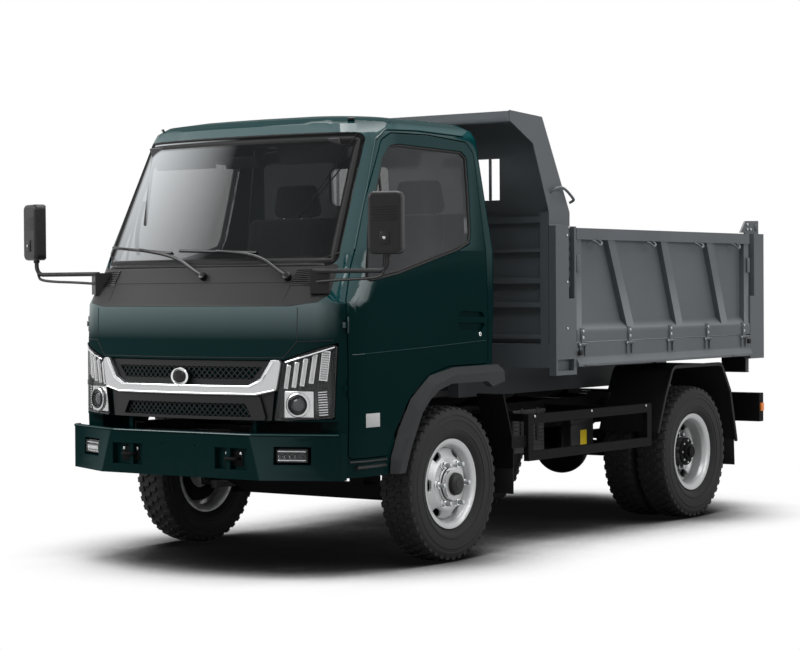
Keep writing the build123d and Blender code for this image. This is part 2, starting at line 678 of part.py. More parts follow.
# ------------------------------------------------------------------ knuckles and tie rod
lug_z = boss_height / 2 + 17
web_x = kingpin_x + boss_radius + 20
arm_z = axle_height - steer_arm_drop
with BuildPart() as knuckle_left:
    with Locations((kingpin_x, front_axle_y, axle_height)):
        Cylinder(kingpin_radius, knuckle_height)
        with Locations((0, 0, lug_z), (0, 0, -lug_z)):
            Cylinder(36, 24)
    with Locations((web_x, front_axle_y, axle_height)):
        Box(24, 80, 2 * lug_z + 24)
    with Locations((kingpin_x, front_axle_y, axle_height + lug_z), (kingpin_x, front_axle_y, axle_height - lug_z)):
        Box(web_x - kingpin_x, 60, 24, align=(Align.MIN, Align.CENTER, Align.CENTER))
    with Locations((web_x, front_axle_y, axle_height)):
        Cylinder(
            spindle_radius, spindle_end - web_x, rotation=(0, 90, 0),
            align=(Align.CENTER, Align.CENTER, Align.MIN))
    with Locations((kingpin_x, front_axle_y, arm_z)):
        Box(30, steer_arm_length, steer_arm_thickness, align=(Align.CENTER, Align.MIN, Align.CENTER))
        Cylinder(24, steer_arm_thickness)
    with Locations((kingpin_x, front_axle_y + steer_arm_length, arm_z)):
        Cylinder(24, steer_arm_thickness)
        Cylinder(ball_radius + running_fit, 2 * steer_arm_thickness, mode=Mode.SUBTRACT)
save(knuckle_left.part, "knuckle_left")
with BuildPart() as knuckle_right:
    mirror(knuckle_left.part, about=Plane.YZ)
save(knuckle_right.part, "knuckle_right")

rod_drop = steer_arm_thickness / 2 + 5 + tie_rod_radius
with BuildPart() as tie_rod:
    with Locations((0, front_axle_y + steer_arm_length, arm_z - rod_drop)):
        Cylinder(tie_rod_radius, 2 * kingpin_x, rotation=(0, 90, 0))
        with Locations((kingpin_x, 0, 0), (-kingpin_x, 0, 0)):
            Cylinder(20, 2 * tie_rod_radius + 6)
            Cylinder(ball_radius, rod_drop + steer_arm_thickness / 2, align=(Align.CENTER, Align.CENTER, Align.MIN))
save(tie_rod.part, "tie_rod")

# ------------------------------------------------------------------ wheels
# one wheel about its own centre, its axle along X and its outer side towards +X
half_rim = rim_width / 2
# half sections of the tyre: distance from the middle plane, radius
tread_rows = [(98, 334), (90, 374), (80, tyre_radius)]
bead_rows = [(98, 334), (95, 268), (half_rim - 9, rim_radius), (half_rim - 13, bead_radius + 3)]


def tyre_body(rows):
    """Many-sided body of revolution about X, mirrored about its middle plane."""
    sections = [(-x, radius) for x, radius in rows] + [(x, radius) for x, radius in reversed(rows)]
    with BuildPart() as body:
        for x, radius in sections:
            with BuildSketch(Plane.YZ.offset(x)):
                RegularPolygon(radius, tyre_sides, major_radius=False, rotation=180 / tyre_sides)
        loft(ruled=True)
    return body.part


with BuildPart() as tyre:
    add(tyre_body(tread_rows))
    add(tyre_body(bead_rows), mode=Mode.SUBTRACT)

# section of the rim: distance from the wheel's middle plane, radius
rim_profile = [
    (-half_rim, rim_radius), (-half_rim + 8, rim_radius), (-62, bead_radius + 2.7), (-30, 190), (30, 190),
    (62, bead_radius + 2.7), (half_rim - 8, rim_radius), (half_rim, rim_radius), (half_rim, rim_radius - 8),
    (66, bead_radius - 8), (34, 182), (-34, 182), (-66, bead_radius - 8), (-half_rim, rim_radius - 8),
]
# section of the disc: distance from the middle plane, radius, from the hub to the rim
disc_profile = [(64, hub_bore), (64, 128), (56, 142), (34, 176), (20, 182.5), (10, 182.5), (24, 170), (46, 136), (54, 122), (54, hub_bore)]
hub_depth = 118
with BuildPart() as wheel_rim:
    with BuildSketch(Plane.XY):
        with BuildLine():
            Polyline(*rim_profile, close=True)
        make_face()
        with BuildLine():
            Polyline(*disc_profile, close=True)
        make_face()
    revolve(axis=Axis.X)
    with BuildSketch(Plane.YZ):
        with PolarLocations(hand_hole_circle / 2, hand_hole_count):
            SlotOverall(hand_hole_length, hand_hole_width, rotation=90)
    extrude(amount=200, mode=Mode.SUBTRACT)

with BuildPart() as front_hub:
    with Locations(Plane.YZ.offset(-20)):
        Cylinder(hub_bore + 1, hub_depth, align=(Align.CENTER, Align.CENTER, Align.MIN))
        Cylinder(128, 32, align=(Align.CENTER, Align.CENTER, Align.MIN))
        Cylinder(
            spindle_radius + running_fit, spindle_end - front_wheel_x + 22,
            align=(Align.CENTER, Align.CENTER, Align.MIN), mode=Mode.SUBTRACT)

wheel_sides = [("left", 1), ("right", -1)]
for side_name, side in wheel_sides:
    turn = 0 if side > 0 else 180
    with BuildPart() as tyre_front:
        with Locations((side * front_wheel_x, front_axle_y, axle_height)):
            add(tyre.part)
    save(tyre_front.part, f"tyre_front_{side_name}")
    with BuildPart() as rim_front:
        with Locations(Location((side * front_wheel_x, front_axle_y, axle_height), (0, 0, turn))):
            add(wheel_rim.part)
            add(front_hub.part)
    save(rim_front.part, f"rim_front_{side_name}")
    with BuildPart() as tyre_rear:
        with Locations((side * rear_outer_x, rear_axle_y, axle_height), (side * rear_inner_x, rear_axle_y, axle_height)):
            add(tyre.part)
    save(tyre_rear.part, f"tyre_rear_{side_name}")
    with BuildPart() as rim_rear:
        with Locations(
            Location((side * rear_outer_x, rear_axle_y, axle_height), (0, 0, 180 - turn)),
            Location((side * rear_inner_x, rear_axle_y, axle_height), (0, 0, turn))):
            add(wheel_rim.part)
        with Locations((side * (rear_inner_x + rear_outer_x) / 2, rear_axle_y, axle_height)):
            Cylinder(hub_bore - 0.5, rear_outer_x - rear_inner_x + 60, rotation=(0, 90, 0))
            Cylinder(138, rear_outer_x - rear_inner_x - 128, rotation=(0, 90, 0))
            Cylinder(spindle_radius + running_fit, 500, rotation=(0, 90, 0), mode=Mode.SUBTRACT)
    save(rim_rear.part, f"rim_rear_{side_name}")

# ------------------------------------------------------------------ frame fittings
tank_size = (260, 620, 230)
with BuildPart() as fuel_tank:
    with Locations((-(rail_x + touch + tank_size[0] / 2), front_axle_y + 1280, 590)):
        Box(*tank_size)
    fillet(fuel_tank.edges().filter_by(Axis.Y), 40)
save(fuel_tank.part, "fuel_tank")

with BuildPart() as battery_box:
    with Locations((rail_x + touch + 130, front_axle_y + 1120, 580)):
        Box(260, 330, 230)
    fillet(battery_box.edges().filter_by(Axis.Z), 15)
save(battery_box.part, "battery_box")

silencer_x = -250
with BuildPart() as exhaust:
    with Locations((silencer_x, front_axle_y + 1680, 465)):
        Cylinder(80, 480, rotation=(90, 0, 0))
        Cylinder(26, 2100, rotation=(90, 0, 0))
    with Locations((silencer_x - 75, front_axle_y + 1680, rail_bottom - touch)):
        Box(30, 60, 100, align=(Align.CENTER, Align.CENTER, Align.MAX))
save(exhaust.part, "exhaust")

guard_x = 880
guard_front = front_axle_y + 700
guard_rear = front_axle_y + 2030
guard_low = 455
guard_high = 700
guard_bar = 50
# splash plate behind the front wheel: y from the front axle, height; and its inner and outer x
splash_outline = [(490, 820), (585, 560), (583, 430), (571, 430), (573, 558), (478, 816)]
splash_x = (715, 880)
with BuildPart() as side_guards:
    with Locations((guard_x, (guard_front + guard_rear) / 2, (guard_low + guard_high) / 2)):
        Box(30, guard_rear - guard_front, guard_high - guard_low)
        Box(40, guard_rear - guard_front - 2 * guard_bar, guard_high - guard_low - 2 * guard_bar, mode=Mode.SUBTRACT)
    for place in (840, 1720):
        with Locations(((rail_x + touch + guard_x - 14) / 2, front_axle_y + place, guard_high - 25)):
            Box(guard_x - 14 - rail_x - touch, 40, 40)
    with BuildSketch(Plane.YZ.offset(splash_x[0])):
        with BuildLine():
            Polyline(*[(front_axle_y + y, z) for y, z in splash_outline], close=True)
        make_face()
    extrude(amount=splash_x[1] - splash_x[0])
    with Locations((splash_x[1] - 6, front_axle_y + 560, 560)):
        Box(6, guard_front - front_axle_y - 540, 60, align=(Align.MIN, Align.MIN, Align.CENTER))
    with Locations((rail_x + touch, front_axle_y + 552, 640)):
        Box(splash_x[0] - rail_x + 20, 24, 50, align=(Align.MIN, Align.CENTER, Align.CENTER))
    mirror(about=Plane.YZ)
save(side_guards.part, "side_guards")

mudguard_wall = 5
mudguard_line = [
    (front_axle_y + 2109, 530), (front_axle_y + 2195, 729), (front_axle_y + 2290, 900),
    (front_axle_y + 2900, 900), (front_axle_y + 3016, 729), (front_axle_y + 3098, 425),
]
with BuildPart() as rear_mudguards:
    with BuildSketch(Plane.YZ.offset(500)):
        with BuildLine():
            FilletPolyline(*mudguard_line, radius=60)
            offset(amount=mudguard_wall / 2, side=Side.BOTH, closed=True)
        make_face()
    extrude(amount=400)
    with BuildSketch(Plane.YZ.offset(886)):
        with BuildLine():
            FilletPolyline(*mudguard_line, radius=60)
            offset(amount=mudguard_wall * 2, side=Side.BOTH, closed=True)
        make_face()
    extrude(amount=14)
    with Locations((rail_x + touch, front_axle_y + 2195, 729), (rail_x + touch, front_axle_y + 3016, 729)):
        Box(150, 30, 40, align=(Align.MIN, Align.CENTER, Align.CENTER))
    mirror(about=Plane.YZ)
save(rear_mudguards.part, "rear_mudguards")

beam_half = 900
with BuildPart() as rear_bumper:
    with Locations((0, length / 2, 610)):
        Box(2 * beam_half, 60, 180, align=(Align.CENTER, Align.MAX, Align.CENTER))
    with Locations((rail_x - 30, rail_rear + touch, 640), (30 - rail_x, rail_rear + touch, 640)):
        Box(50, length / 2 - 59 - rail_rear, 100, align=(Align.CENTER, Align.MIN, Align.CENTER))
save(rear_bumper.part, "rear_bumper")

# ------------------------------------------------------------------ bed
hinge_ear_x = rail_x - 80
post_row_ends = (front_axle_y + 1113 + touch, post_rear_front - touch)
floor_half = bed_half_width - post_depth + 1 - touch
front_sill_depth = 28
with BuildPart() as bed_floor:
    with Locations((0, (post_front + bed_rear) / 2, floor_top - floor_plate / 2)):
        Box(2 * floor_half, bed_rear - post_front, floor_plate)
    bearer_pitch = (bed_rear - post_front - 200) / (bearer_count - 1)
    with Locations((0, (post_front + bed_rear) / 2, floor_top - floor_plate - bearer_height / 2)):
        with GridLocations(1, bearer_pitch, 1, bearer_count):
            Box(2 * floor_half, bearer_width, bearer_height)
    subframe_top = floor_top - floor_plate - bearer_height
    with Locations((0, (post_front + bed_rear) / 2 - 20, (subframe_bottom + subframe_top) / 2)):
        with GridLocations(2 * subframe_x, 1, 2, 1):
            Box(subframe_width, bed_rear - post_front - 100, subframe_top - subframe_bottom)
    with Locations((0, bed_rear, sill_bottom)):
        Box(2 * floor_half, 56, sill_top - sill_bottom, align=(Align.CENTER, Align.MAX, Align.MIN))
    with Locations((0, bed_front, sill_bottom)):
        Box(2 * floor_half, front_sill_depth, sill_top - sill_bottom, align=(Align.CENTER, Align.MIN, Align.MIN))
    for side in (-1, 1):
        with BuildSketch(Plane.XZ.offset(-post_row_ends[0])):
            with BuildLine():
                Polyline(
                    (side * (bed_half_width - 1), sill_bottom), (side * (bed_half_width + ledge_reach), sill_bottom),
                    (side * (bed_half_width + ledge_reach), sill_bottom + 18), (side * (bed_half_width - 1), sill_bottom + 48),
                    close=True)
            make_face()
        extrude(amount=post_row_ends[0] - post_row_ends[1])
    for side in (-1, 1):
        with Locations((side * (bed_half_width - 25), (post_row_ends[0] + post_row_ends[1]) / 2, (sill_bottom + sill_top) / 2)):
            Box(50, post_row_ends[1] - post_row_ends[0], sill_top - sill_bottom)
        with Locations((side * hinge_ear_x, hinge_y, (hinge_z + subframe_top) / 2)):
            Box(24, 90, subframe_top - hinge_z)
        with Locations((side * hinge_ear_x, hinge_y, hinge_z)):
            Cylinder(42, 24, rotation=(0, 90, 0))
        with Locations((side * 60, hoist_eye_y, (hoist_eye_z + subframe_top) / 2)):
            Box(16, 70, subframe_top - hoist_eye_z + 160)
        with Locations((side * 68, hoist_eye_y, hoist_eye_z)):
            Cylinder(2 * hoist_pin_radius, 20, rotation=(0, 90, 0))
        for place in gate_hinge_places:
            with Locations((side * gate_hinge_x, front_axle_y + place, gate_hinge_z)):
                Cylinder(gate_pin_radius, 80, rotation=(90, 0, 0))
            for end in (-28, 28):
                with Locations((side * gate_hinge_x, front_axle_y + place + end, gate_hinge_z)):
                    Cylinder(gate_knuckle_radius, 18, rotation=(90, 0, 0))
                with Locations((side * (bed_half_width + 4), front_axle_y + place + end, gate_hinge_z)):
                    Box(10, 18, 60, align=(Align.CENTER, Align.CENTER, Align.MAX))
    with Locations((0, hinge_y, hinge_z)):
        Cylinder(hinge_pin_radius, 2 * rail_x + 20, rotation=(0, 90, 0))
save(bed_floor.part, "bed_floor")

tail_lamp_size = (170, 40, 100)
with BuildPart() as tail_lamps:
    with Locations((760, front_axle_y + 3350, sill_bottom - 60)):
        Box(*tail_lamp_size)
        Box(120, 12, 60 - touch, align=(Align.CENTER, Align.CENTER, Align.MIN))
    mirror(about=Plane.YZ)
save(tail_lamps.part, "tail_lamps")

# ------------------------------------------------------------------ headboard and cab guard
board_half = bed_half_width - 46
board_y = bed_front + 22
# cheek outline: y from the front axle, height
cheek_outline = [
    (902, 1699.3), (902, 1774), (746, 2131), (523, 2237), (519, 2293), (837, 2276), (1114, 1776), (1113, 1699.3),
]
# cross ribs on the headboard: height, height of the section
board_ribs = [(1735, 34), (1570, 18), (1408, 30), (1278, 26), (1106, 20)]
with BuildPart() as headboard:
    with BuildSketch(Plane.YZ.offset(-board_half)):
        with BuildLine():
            Polyline(
                (board_y, sill_top + touch), (board_y, 2110), (front_axle_y + 826, 2265), (front_axle_y + 525, 2282),
                (front_axle_y + 525, 2235), (front_axle_y + 519, 2235), (front_axle_y + 519, 2289),
                (front_axle_y + 830, 2271), (board_y + 6, 2112), (board_y + 6, sill_top + touch), close=True)
        make_face()
    extrude(amount=2 * board_half)
    for height, section in board_ribs:
        with Locations((0, board_y, height)):
            Box(2 * board_half, 22, section, align=(Align.CENTER, Align.MAX, Align.CENTER))
    with Locations((0, board_y, 1958)):
        Box(2 * 578, 60, 224, mode=Mode.SUBTRACT)
    for side in (-1, 1):
        with BuildSketch(Plane.YZ.offset(side * (board_half + 3) - 3)):
            with BuildLine():
                Polyline(*[(front_axle_y + y, z) for y, z in cheek_outline], close=True)
            make_face()
        extrude(amount=6)
        with Locations((side * (board_half - 26), board_y - 11, sill_top + touch)):
            Box(52, 22, 706, align=(Align.CENTER, Align.CENTER, Align.MIN))
save(headboard.part, "headboard")

# ------------------------------------------------------------------ corner posts
# front edge from the front axle, length, bottom, top, slot front, slot length
post_rows = [(902, 211, 900, 1699, 1035, 58), (3194, 188, 922, 1694, 3194, 56)]
post_window = (920, 166, 922, 62)  # front edge, length, bottom, height of the foot's recess
post_inner_x = bed_half_width - post_depth + 1
# plate that hangs the tailgate: y from the front axle, height
hanger_outline = [(3194, 1690), (3375, 1690), (3375, 1777), (3200, 1773), (3130, 1700), (3194, 1700)]
with BuildPart() as bed_posts:
    for front, post_length, bottom, top, slot_front, slot_length in post_rows:
        with Locations((post_inner_x, front_axle_y + front, bottom)):
            Box(post_depth, post_length, top - bottom, align=(Align.MIN, Align.MIN, Align.MIN))
        with Locations((bed_half_width + 1, front_axle_y + slot_front, 1310)):
            Box(38, slot_length, 600, align=(Align.MAX, Align.MIN, Align.MIN), mode=Mode.SUBTRACT)
    with Locations((bed_half_width + 1, front_axle_y + post_window[0], post_window[2])):
        Box(32, post_window[1], post_window[3], align=(Align.MAX, Align.MIN, Align.MIN), mode=Mode.SUBTRACT)
    with BuildSketch(Plane.YZ.offset(post_inner_x)):
        with BuildLine():
            Polyline(*[(front_axle_y + y, z) for y, z in hanger_outline], close=True)
        make_face()
    extrude(amount=12)
    with Locations((post_inner_x + 6, tailgate_pin_y, tailgate_pin_z)):
        Cylinder(tailgate_pin_radius, 42, rotation=(0, -90, 0), align=(Align.CENTER, Align.CENTER, Align.MIN))
    mirror(about=Plane.YZ)
save(bed_posts.part, "bed_posts")

# ------------------------------------------------------------------ gates
gate_inner_x = bed_half_width - gate_depth
shelf_z = 1140
rail_z = 1630
stile = 62
# ribs: y of the top and of the foot from the front axle
gate_ribs = [(1462, 1679), (2068, 2256), (2634, 2824)]
rib_width = 80
with BuildPart() as side_gate_left:
    with Locations((gate_inner_x, gate_front, gate_bottom)):
        Box(10, gate_rear - gate_front, gate_top - gate_bottom, align=(Align.MIN, Align.MIN, Align.MIN))
        Box(gate_depth - 8, stile, gate_top - gate_bottom, align=(Align.MIN, Align.MIN, Align.MIN))
    with BuildSketch(Plane.XZ.offset(-gate_front)):
        with BuildLine():
            Polyline(
                (gate_inner_x, gate_bottom), (bed_half_width, gate_bottom), (bed_half_width, shelf_z - 4),
                (gate_inner_x + 10, shelf_z + 47), (gate_inner_x, shelf_z + 47), close=True)
        make_face()
    extrude(amount=gate_front - gate_rear)
    with Locations((gate_inner_x, gate_front, rail_z)):
        Box(gate_depth, gate_rear - gate_front, gate_top - rail_z, align=(Align.MIN, Align.MIN, Align.MIN))
    with Locations((gate_inner_x, gate_rear, gate_bottom)):
        Box(gate_depth - 8, stile, gate_top - gate_bottom, align=(Align.MIN, Align.MAX, Align.MIN))
    with BuildSketch(Plane.YZ.offset(gate_inner_x)):
        for rib_top, rib_foot in gate_ribs:
            with BuildLine():
                Polyline(
                    (front_axle_y + rib_top, rail_z + 1), (front_axle_y + rib_top + rib_width, rail_z + 1),
                    (front_axle_y + rib_foot + rib_width, shelf_z - 1), (front_axle_y + rib_foot, shelf_z - 1),
                    close=True)
            make_face()
    extrude(amount=gate_depth - 6)
    for place in gate_hinge_places:
        with Locations((gate_hinge_x, front_axle_y + place, gate_hinge_z)):
            Cylinder(gate_knuckle_radius, 34, rotation=(90, 0, 0))
            Box(8, 34, 30, align=(Align.MAX, Align.CENTER, Align.MIN))
            with Locations((0, 0, 17)):
                Box(10, 34, 43, align=(Align.MAX, Align.CENTER, Align.MIN))
            Cylinder(gate_pin_radius + running_fit, 60, rotation=(90, 0, 0), mode=Mode.SUBTRACT)
save(side_gate_left.part, "side_gate_left")
with BuildPart() as side_gate_right:
    mirror(side_gate_left.part, about=Plane.YZ)
save(side_gate_right.part, "side_gate_right")

tailgate_half = bed_half_width - 58
with BuildPart() as tailgate:
    with Locations((0, bed_rear - 52, gate_bottom)):
        Box(2 * tailgate_half, 8, gate_top - gate_bottom, align=(Align.CENTER, Align.MIN, Align.MIN))
        for height in (0, gate_top - gate_bottom - 60):
            with Locations((0, 0, height)):
                Box(2 * tailgate_half, 46, 60, align=(Align.CENTER, Align.MIN, Align.MIN))
        with GridLocations((2 * tailgate_half - 50) / 5, 1, 6, 1):
            Box(50, 44, gate_top - gate_bottom, align=(Align.CENTER, Align.MIN, Align.MIN))
    with Locations((tailgate_half - 9, tailgate_pin_y, tailgate_pin_z), (9 - tailgate_half, tailgate_pin_y, tailgate_pin_z)):
        Cylinder(28, 18, rotation=(0, 90, 0))
        Box(18, 40, 60, align=(Align.CENTER, Align.CENTER, Align.MAX))
    with Locations((0, tailgate_pin_y, tailgate_pin_z)):
        Cylinder(tailgate_pin_radius + running_fit, 2200, rotation=(0, 90, 0), mode=Mode.SUBTRACT)
save(tailgate.part, "tailgate")

# ------------------------------------------------------------------ hoist
hoist_reach = hypot(hoist_eye_y - hoist_base_y, hoist_eye_z - hoist_base_z)
hoist_tilt = degrees(atan2(hoist_eye_z - hoist_base_z, hoist_eye_y - hoist_base_y))
hoist_plane = Plane(
    origin=(0, hoist_base_y, hoist_base_z), x_dir=(1, 0, 0),
    z_dir=(0, cos(radians(hoist_tilt)), sin(radians(hoist_tilt))))
barrel_length = hoist_reach - 120
with BuildPart() as hoist_barrel:
    with Locations(hoist_plane):
        Cylinder(barrel_radius, barrel_length, align=(Align.CENTER, Align.CENTER, Align.MIN))
    with Locations(hoist_plane.offset(100)):
        Cylinder(rod_radius + running_fit, barrel_length, align=(Align.CENTER, Align.CENTER, Align.MIN), mode=Mode.SUBTRACT)
    with Locations((0, hoist_base_y, hoist_base_z)):
        Cylinder(hoist_pin_radius, 150, rotation=(0, 90, 0))
save(hoist_barrel.part, "hoist_barrel")
with BuildPart() as hoist_rod:
    with Locations(hoist_plane.offset(105)):
        Cylinder(rod_radius, hoist_reach - 105 - 30, align=(Align.CENTER, Align.CENTER, Align.MIN))
    with Locations((0, hoist_eye_y, hoist_eye_z)):
        Cylinder(42, 84, rotation=(0, 90, 0))
        Cylinder(hoist_pin_radius, 92, rotation=(0, 90, 0))
save(hoist_rod.part, "hoist_rod")
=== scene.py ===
import json
import math

import bmesh
import bpy
from mathutils import Matrix, Vector
from mathutils.bvhtree import BVHTree

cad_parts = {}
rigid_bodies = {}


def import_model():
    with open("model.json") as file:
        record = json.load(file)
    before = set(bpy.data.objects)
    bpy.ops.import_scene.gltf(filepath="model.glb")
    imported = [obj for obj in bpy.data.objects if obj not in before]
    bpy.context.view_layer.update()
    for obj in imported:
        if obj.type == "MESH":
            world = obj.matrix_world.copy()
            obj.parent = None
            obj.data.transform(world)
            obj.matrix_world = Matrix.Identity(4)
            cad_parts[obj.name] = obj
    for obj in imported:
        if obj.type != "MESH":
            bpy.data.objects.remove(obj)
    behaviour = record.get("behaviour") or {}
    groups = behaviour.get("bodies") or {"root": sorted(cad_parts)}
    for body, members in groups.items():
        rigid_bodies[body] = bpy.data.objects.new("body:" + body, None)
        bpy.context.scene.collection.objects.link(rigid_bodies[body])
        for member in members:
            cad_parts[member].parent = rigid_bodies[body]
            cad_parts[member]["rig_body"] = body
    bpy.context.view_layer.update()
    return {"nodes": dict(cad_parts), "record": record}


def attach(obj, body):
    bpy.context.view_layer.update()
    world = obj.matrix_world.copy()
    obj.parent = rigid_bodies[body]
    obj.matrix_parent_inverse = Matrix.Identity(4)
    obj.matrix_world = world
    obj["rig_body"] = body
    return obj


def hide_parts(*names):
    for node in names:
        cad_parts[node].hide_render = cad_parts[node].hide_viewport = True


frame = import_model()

nodes = frame["nodes"]
axleY = -1.201          # the front axle, from the frame's origin
wheelBase = 2507        # in millimetres
rearAxleY = axleY + wheelBase / 1000
wheelHeight = 0.390     # of the wheels' centres
weldGap = 0.00002       # vertices nearer than this become one
print("frame loaded:", len(nodes), "nodes")


# camera

cameraSet = {
    "place": (7.0449, axleY - 9.0694, 1.372),
    "yaw": 35.6,
    "pitch": 1.1,
    "roll": -0.4,
    "lens": 98.51,
    "sensor": 36,
    "shift": (0.003125, 0.006625),
    "farClip": 200,
}


def makeCamera():
    yaw, pitch, roll = [math.radians(cameraSet[key]) for key in ("yaw", "pitch", "roll")]
    look = Vector((-math.sin(yaw) * math.cos(pitch), math.cos(yaw) * math.cos(pitch),
                   -math.sin(pitch)))
    side = Vector((math.cos(yaw), math.sin(yaw), 0))
    top = side.cross(look)
    right = side * math.cos(roll) + top * math.sin(roll)
    up = top * math.cos(roll) - side * math.sin(roll)
    bpy.ops.object.camera_add()
    cam = bpy.context.object
    cam.name = "photoCamera"
    turn = Matrix((right, up, -look)).transposed()
    cam.matrix_world = Matrix.Translation(cameraSet["place"]) @ turn.to_4x4()
    cam.data.lens = cameraSet["lens"]
    cam.data.sensor_width = cameraSet["sensor"]
    cam.data.shift_x, cam.data.shift_y = cameraSet["shift"]
    cam.data.clip_end = cameraSet["farClip"]
    bpy.context.scene.camera = cam


makeCamera()
bpy.context.scene.view_settings.view_transform = "Standard"


# shader helpers

class Link:
    def __init__(self, shader, socket):
        self.shader = shader
        self.socket = socket

    def maths(self, operation, first, second):
        return self.shader.node("Math", {"operation": operation}, {0: first, 1: second})

    def most(self, other):
        return self.maths("MAXIMUM", self, other)

    def __add__(self, other):
        return self.maths("ADD", self, other)

    def __radd__(self, other):
        return self.maths("ADD", other, self)

    def __sub__(self, other):
        return self.maths("SUBTRACT", self, other)

    def __rsub__(self, other):
        return self.maths("SUBTRACT", other, self)

    def __mul__(self, other):
        return self.maths("MULTIPLY", self, other)

    def __rmul__(self, other):
        return self.maths("MULTIPLY", other, self)

    def __pow__(self, other):
        return self.maths("POWER", self, other)


class Shader:
    def __init__(self, name):
        self.material = bpy.data.materials.new(name)
        self.material.use_nodes = True
        self.tree = self.material.node_tree
        self.surface = self.tree.nodes["Principled BSDF"]
        self.out = self.tree.nodes["Material Output"]

    def feed(self, socket, value):
        if isinstance(value, Link):
            self.tree.links.new(value.socket, socket)
        elif socket.type == "RGBA" and len(value) == 3:
            socket.default_value = (*value, 1)
        else:
            socket.default_value = value

    def node(self, kind, settings=None, inputs=None, output=0):
        made = self.tree.nodes.new("ShaderNode" + kind)
        for key, value in (settings or {}).items():
            if key == "stops":
                ramp = made.color_ramp
                while len(ramp.elements) < len(value):
                    ramp.elements.new(0.5)
                for element, (place, grey) in zip(ramp.elements, value):
                    element.position = place
                    element.color = (grey, grey, grey, 1)
            else:
                setattr(made, key, value)
        for key, value in (inputs or {}).items():
            self.feed(made.inputs[key], value)
        return Link(self, made.outputs[output])

    def sister(self, link, name):      # another output of the node that a link comes from
        return Link(self, link.socket.node.outputs[name])

    def spot(self):
        return self.node("TexCoord", output=3)

    def facing(self):
        return self.node("NewGeometry", output=1)

    def place(self, scale=(1, 1, 1)):
        return self.node("Mapping", {}, {"Vector": self.spot(), "Scale": scale})

    def axis(self, name, vector=None):
        return self.sister(self.node("SeparateXYZ", {}, {0: vector or self.spot()}), name)

    def noise(self, scale, detail=3, rough=0.5, stretch=(1, 1, 1)):
        return self.node("TexNoise", {}, {"Vector": self.place(stretch), "Scale": scale,
                                          "Detail": detail, "Roughness": rough})

    def span(self, value, low, high, newLow=0.0, newHigh=1.0):
        return self.node("MapRange", {}, {0: value, 1: low, 2: high, 3: newLow, 4: newHigh})

    def mix(self, factor, first, second):
        return self.node("Mix", {"data_type": "RGBA"}, {0: factor, 6: first, 7: second}, 2)

    def bump(self, height, strength, distance=0.001):
        self.put("Normal", self.node("Bump", {}, {"Height": height, "Strength": strength,
                                                  "Distance": distance}))

    def put(self, name, value):
        self.feed(self.surface.inputs[name], value)


# materials

paintSet = {
    "dustColour": (0.20, 0.185, 0.165),
    "dustHeights": (0.9, 0.25),            # none above, most below
    "upwardColour": (0.26, 0.27, 0.275),  # on faces that look up
    "coatRough": 0.06,
}


def dustyPaint(name, colour, rough, coat=0.0, dustAndShade=0.0, grain=0.0, metallic=0.0, shine=0.2,
               upwardPaleness=0.0):
    shader = Shader(name)
    broad = shader.noise(2.2, 4, 0.55)
    fine = shader.noise(60, 4, 0.6)
    tint = tuple(min(1, c * 1.25 + 0.002) for c in colour)
    shade = tuple(c * 0.86 for c in colour)
    base = shader.mix(broad, shade, tint)
    if dustAndShade:
        haze = shader.span(shader.axis("Z"), *paintSet["dustHeights"]) * fine * dustAndShade
        base = shader.mix(haze, base, paintSet["dustColour"])
        shader.put("Roughness", haze * 0.8 + (fine - 0.5) * 0.06 + rough)
    else:
        shader.put("Roughness", (fine - 0.5) * 0.08 + rough)
    # faces that look up turn towards a paler grey
    if upwardPaleness:
        lift = shader.axis("Z", shader.facing())
        upwardMask = shader.span(lift, 0.22, 0.60, 0.0, upwardPaleness)
        base = shader.mix(upwardMask, base, paintSet["upwardColour"])
    shader.put("Base Color", base)
    shader.put("Metallic", metallic)
    shader.put("Specular IOR Level", shine)
    shader.put("Coat Weight", coat)
    shader.put("Coat Roughness", paintSet["coatRough"])
    shader.bump(shader.noise(420 if grain else 150, 2, 0.5), grain or 0.04, 0.0006)
    return shader.material


cabPaintSet = {
    "deep": (0.0007, 0.0092, 0.0094),
    "even": (0.0011, 0.0125, 0.0128),
    "flake": (0.010, 0.085, 0.080),
    "flakeScale": 900.0,
    # colour of a painted highlight, on faces that lean back and on the hood's top
    "paintedHighlight": (0.0025, 0.050, 0.055),
    "mud": (0.12, 0.11, 0.10),
    "coatIor": 2.0,
    "coatRough": 0.08,
}


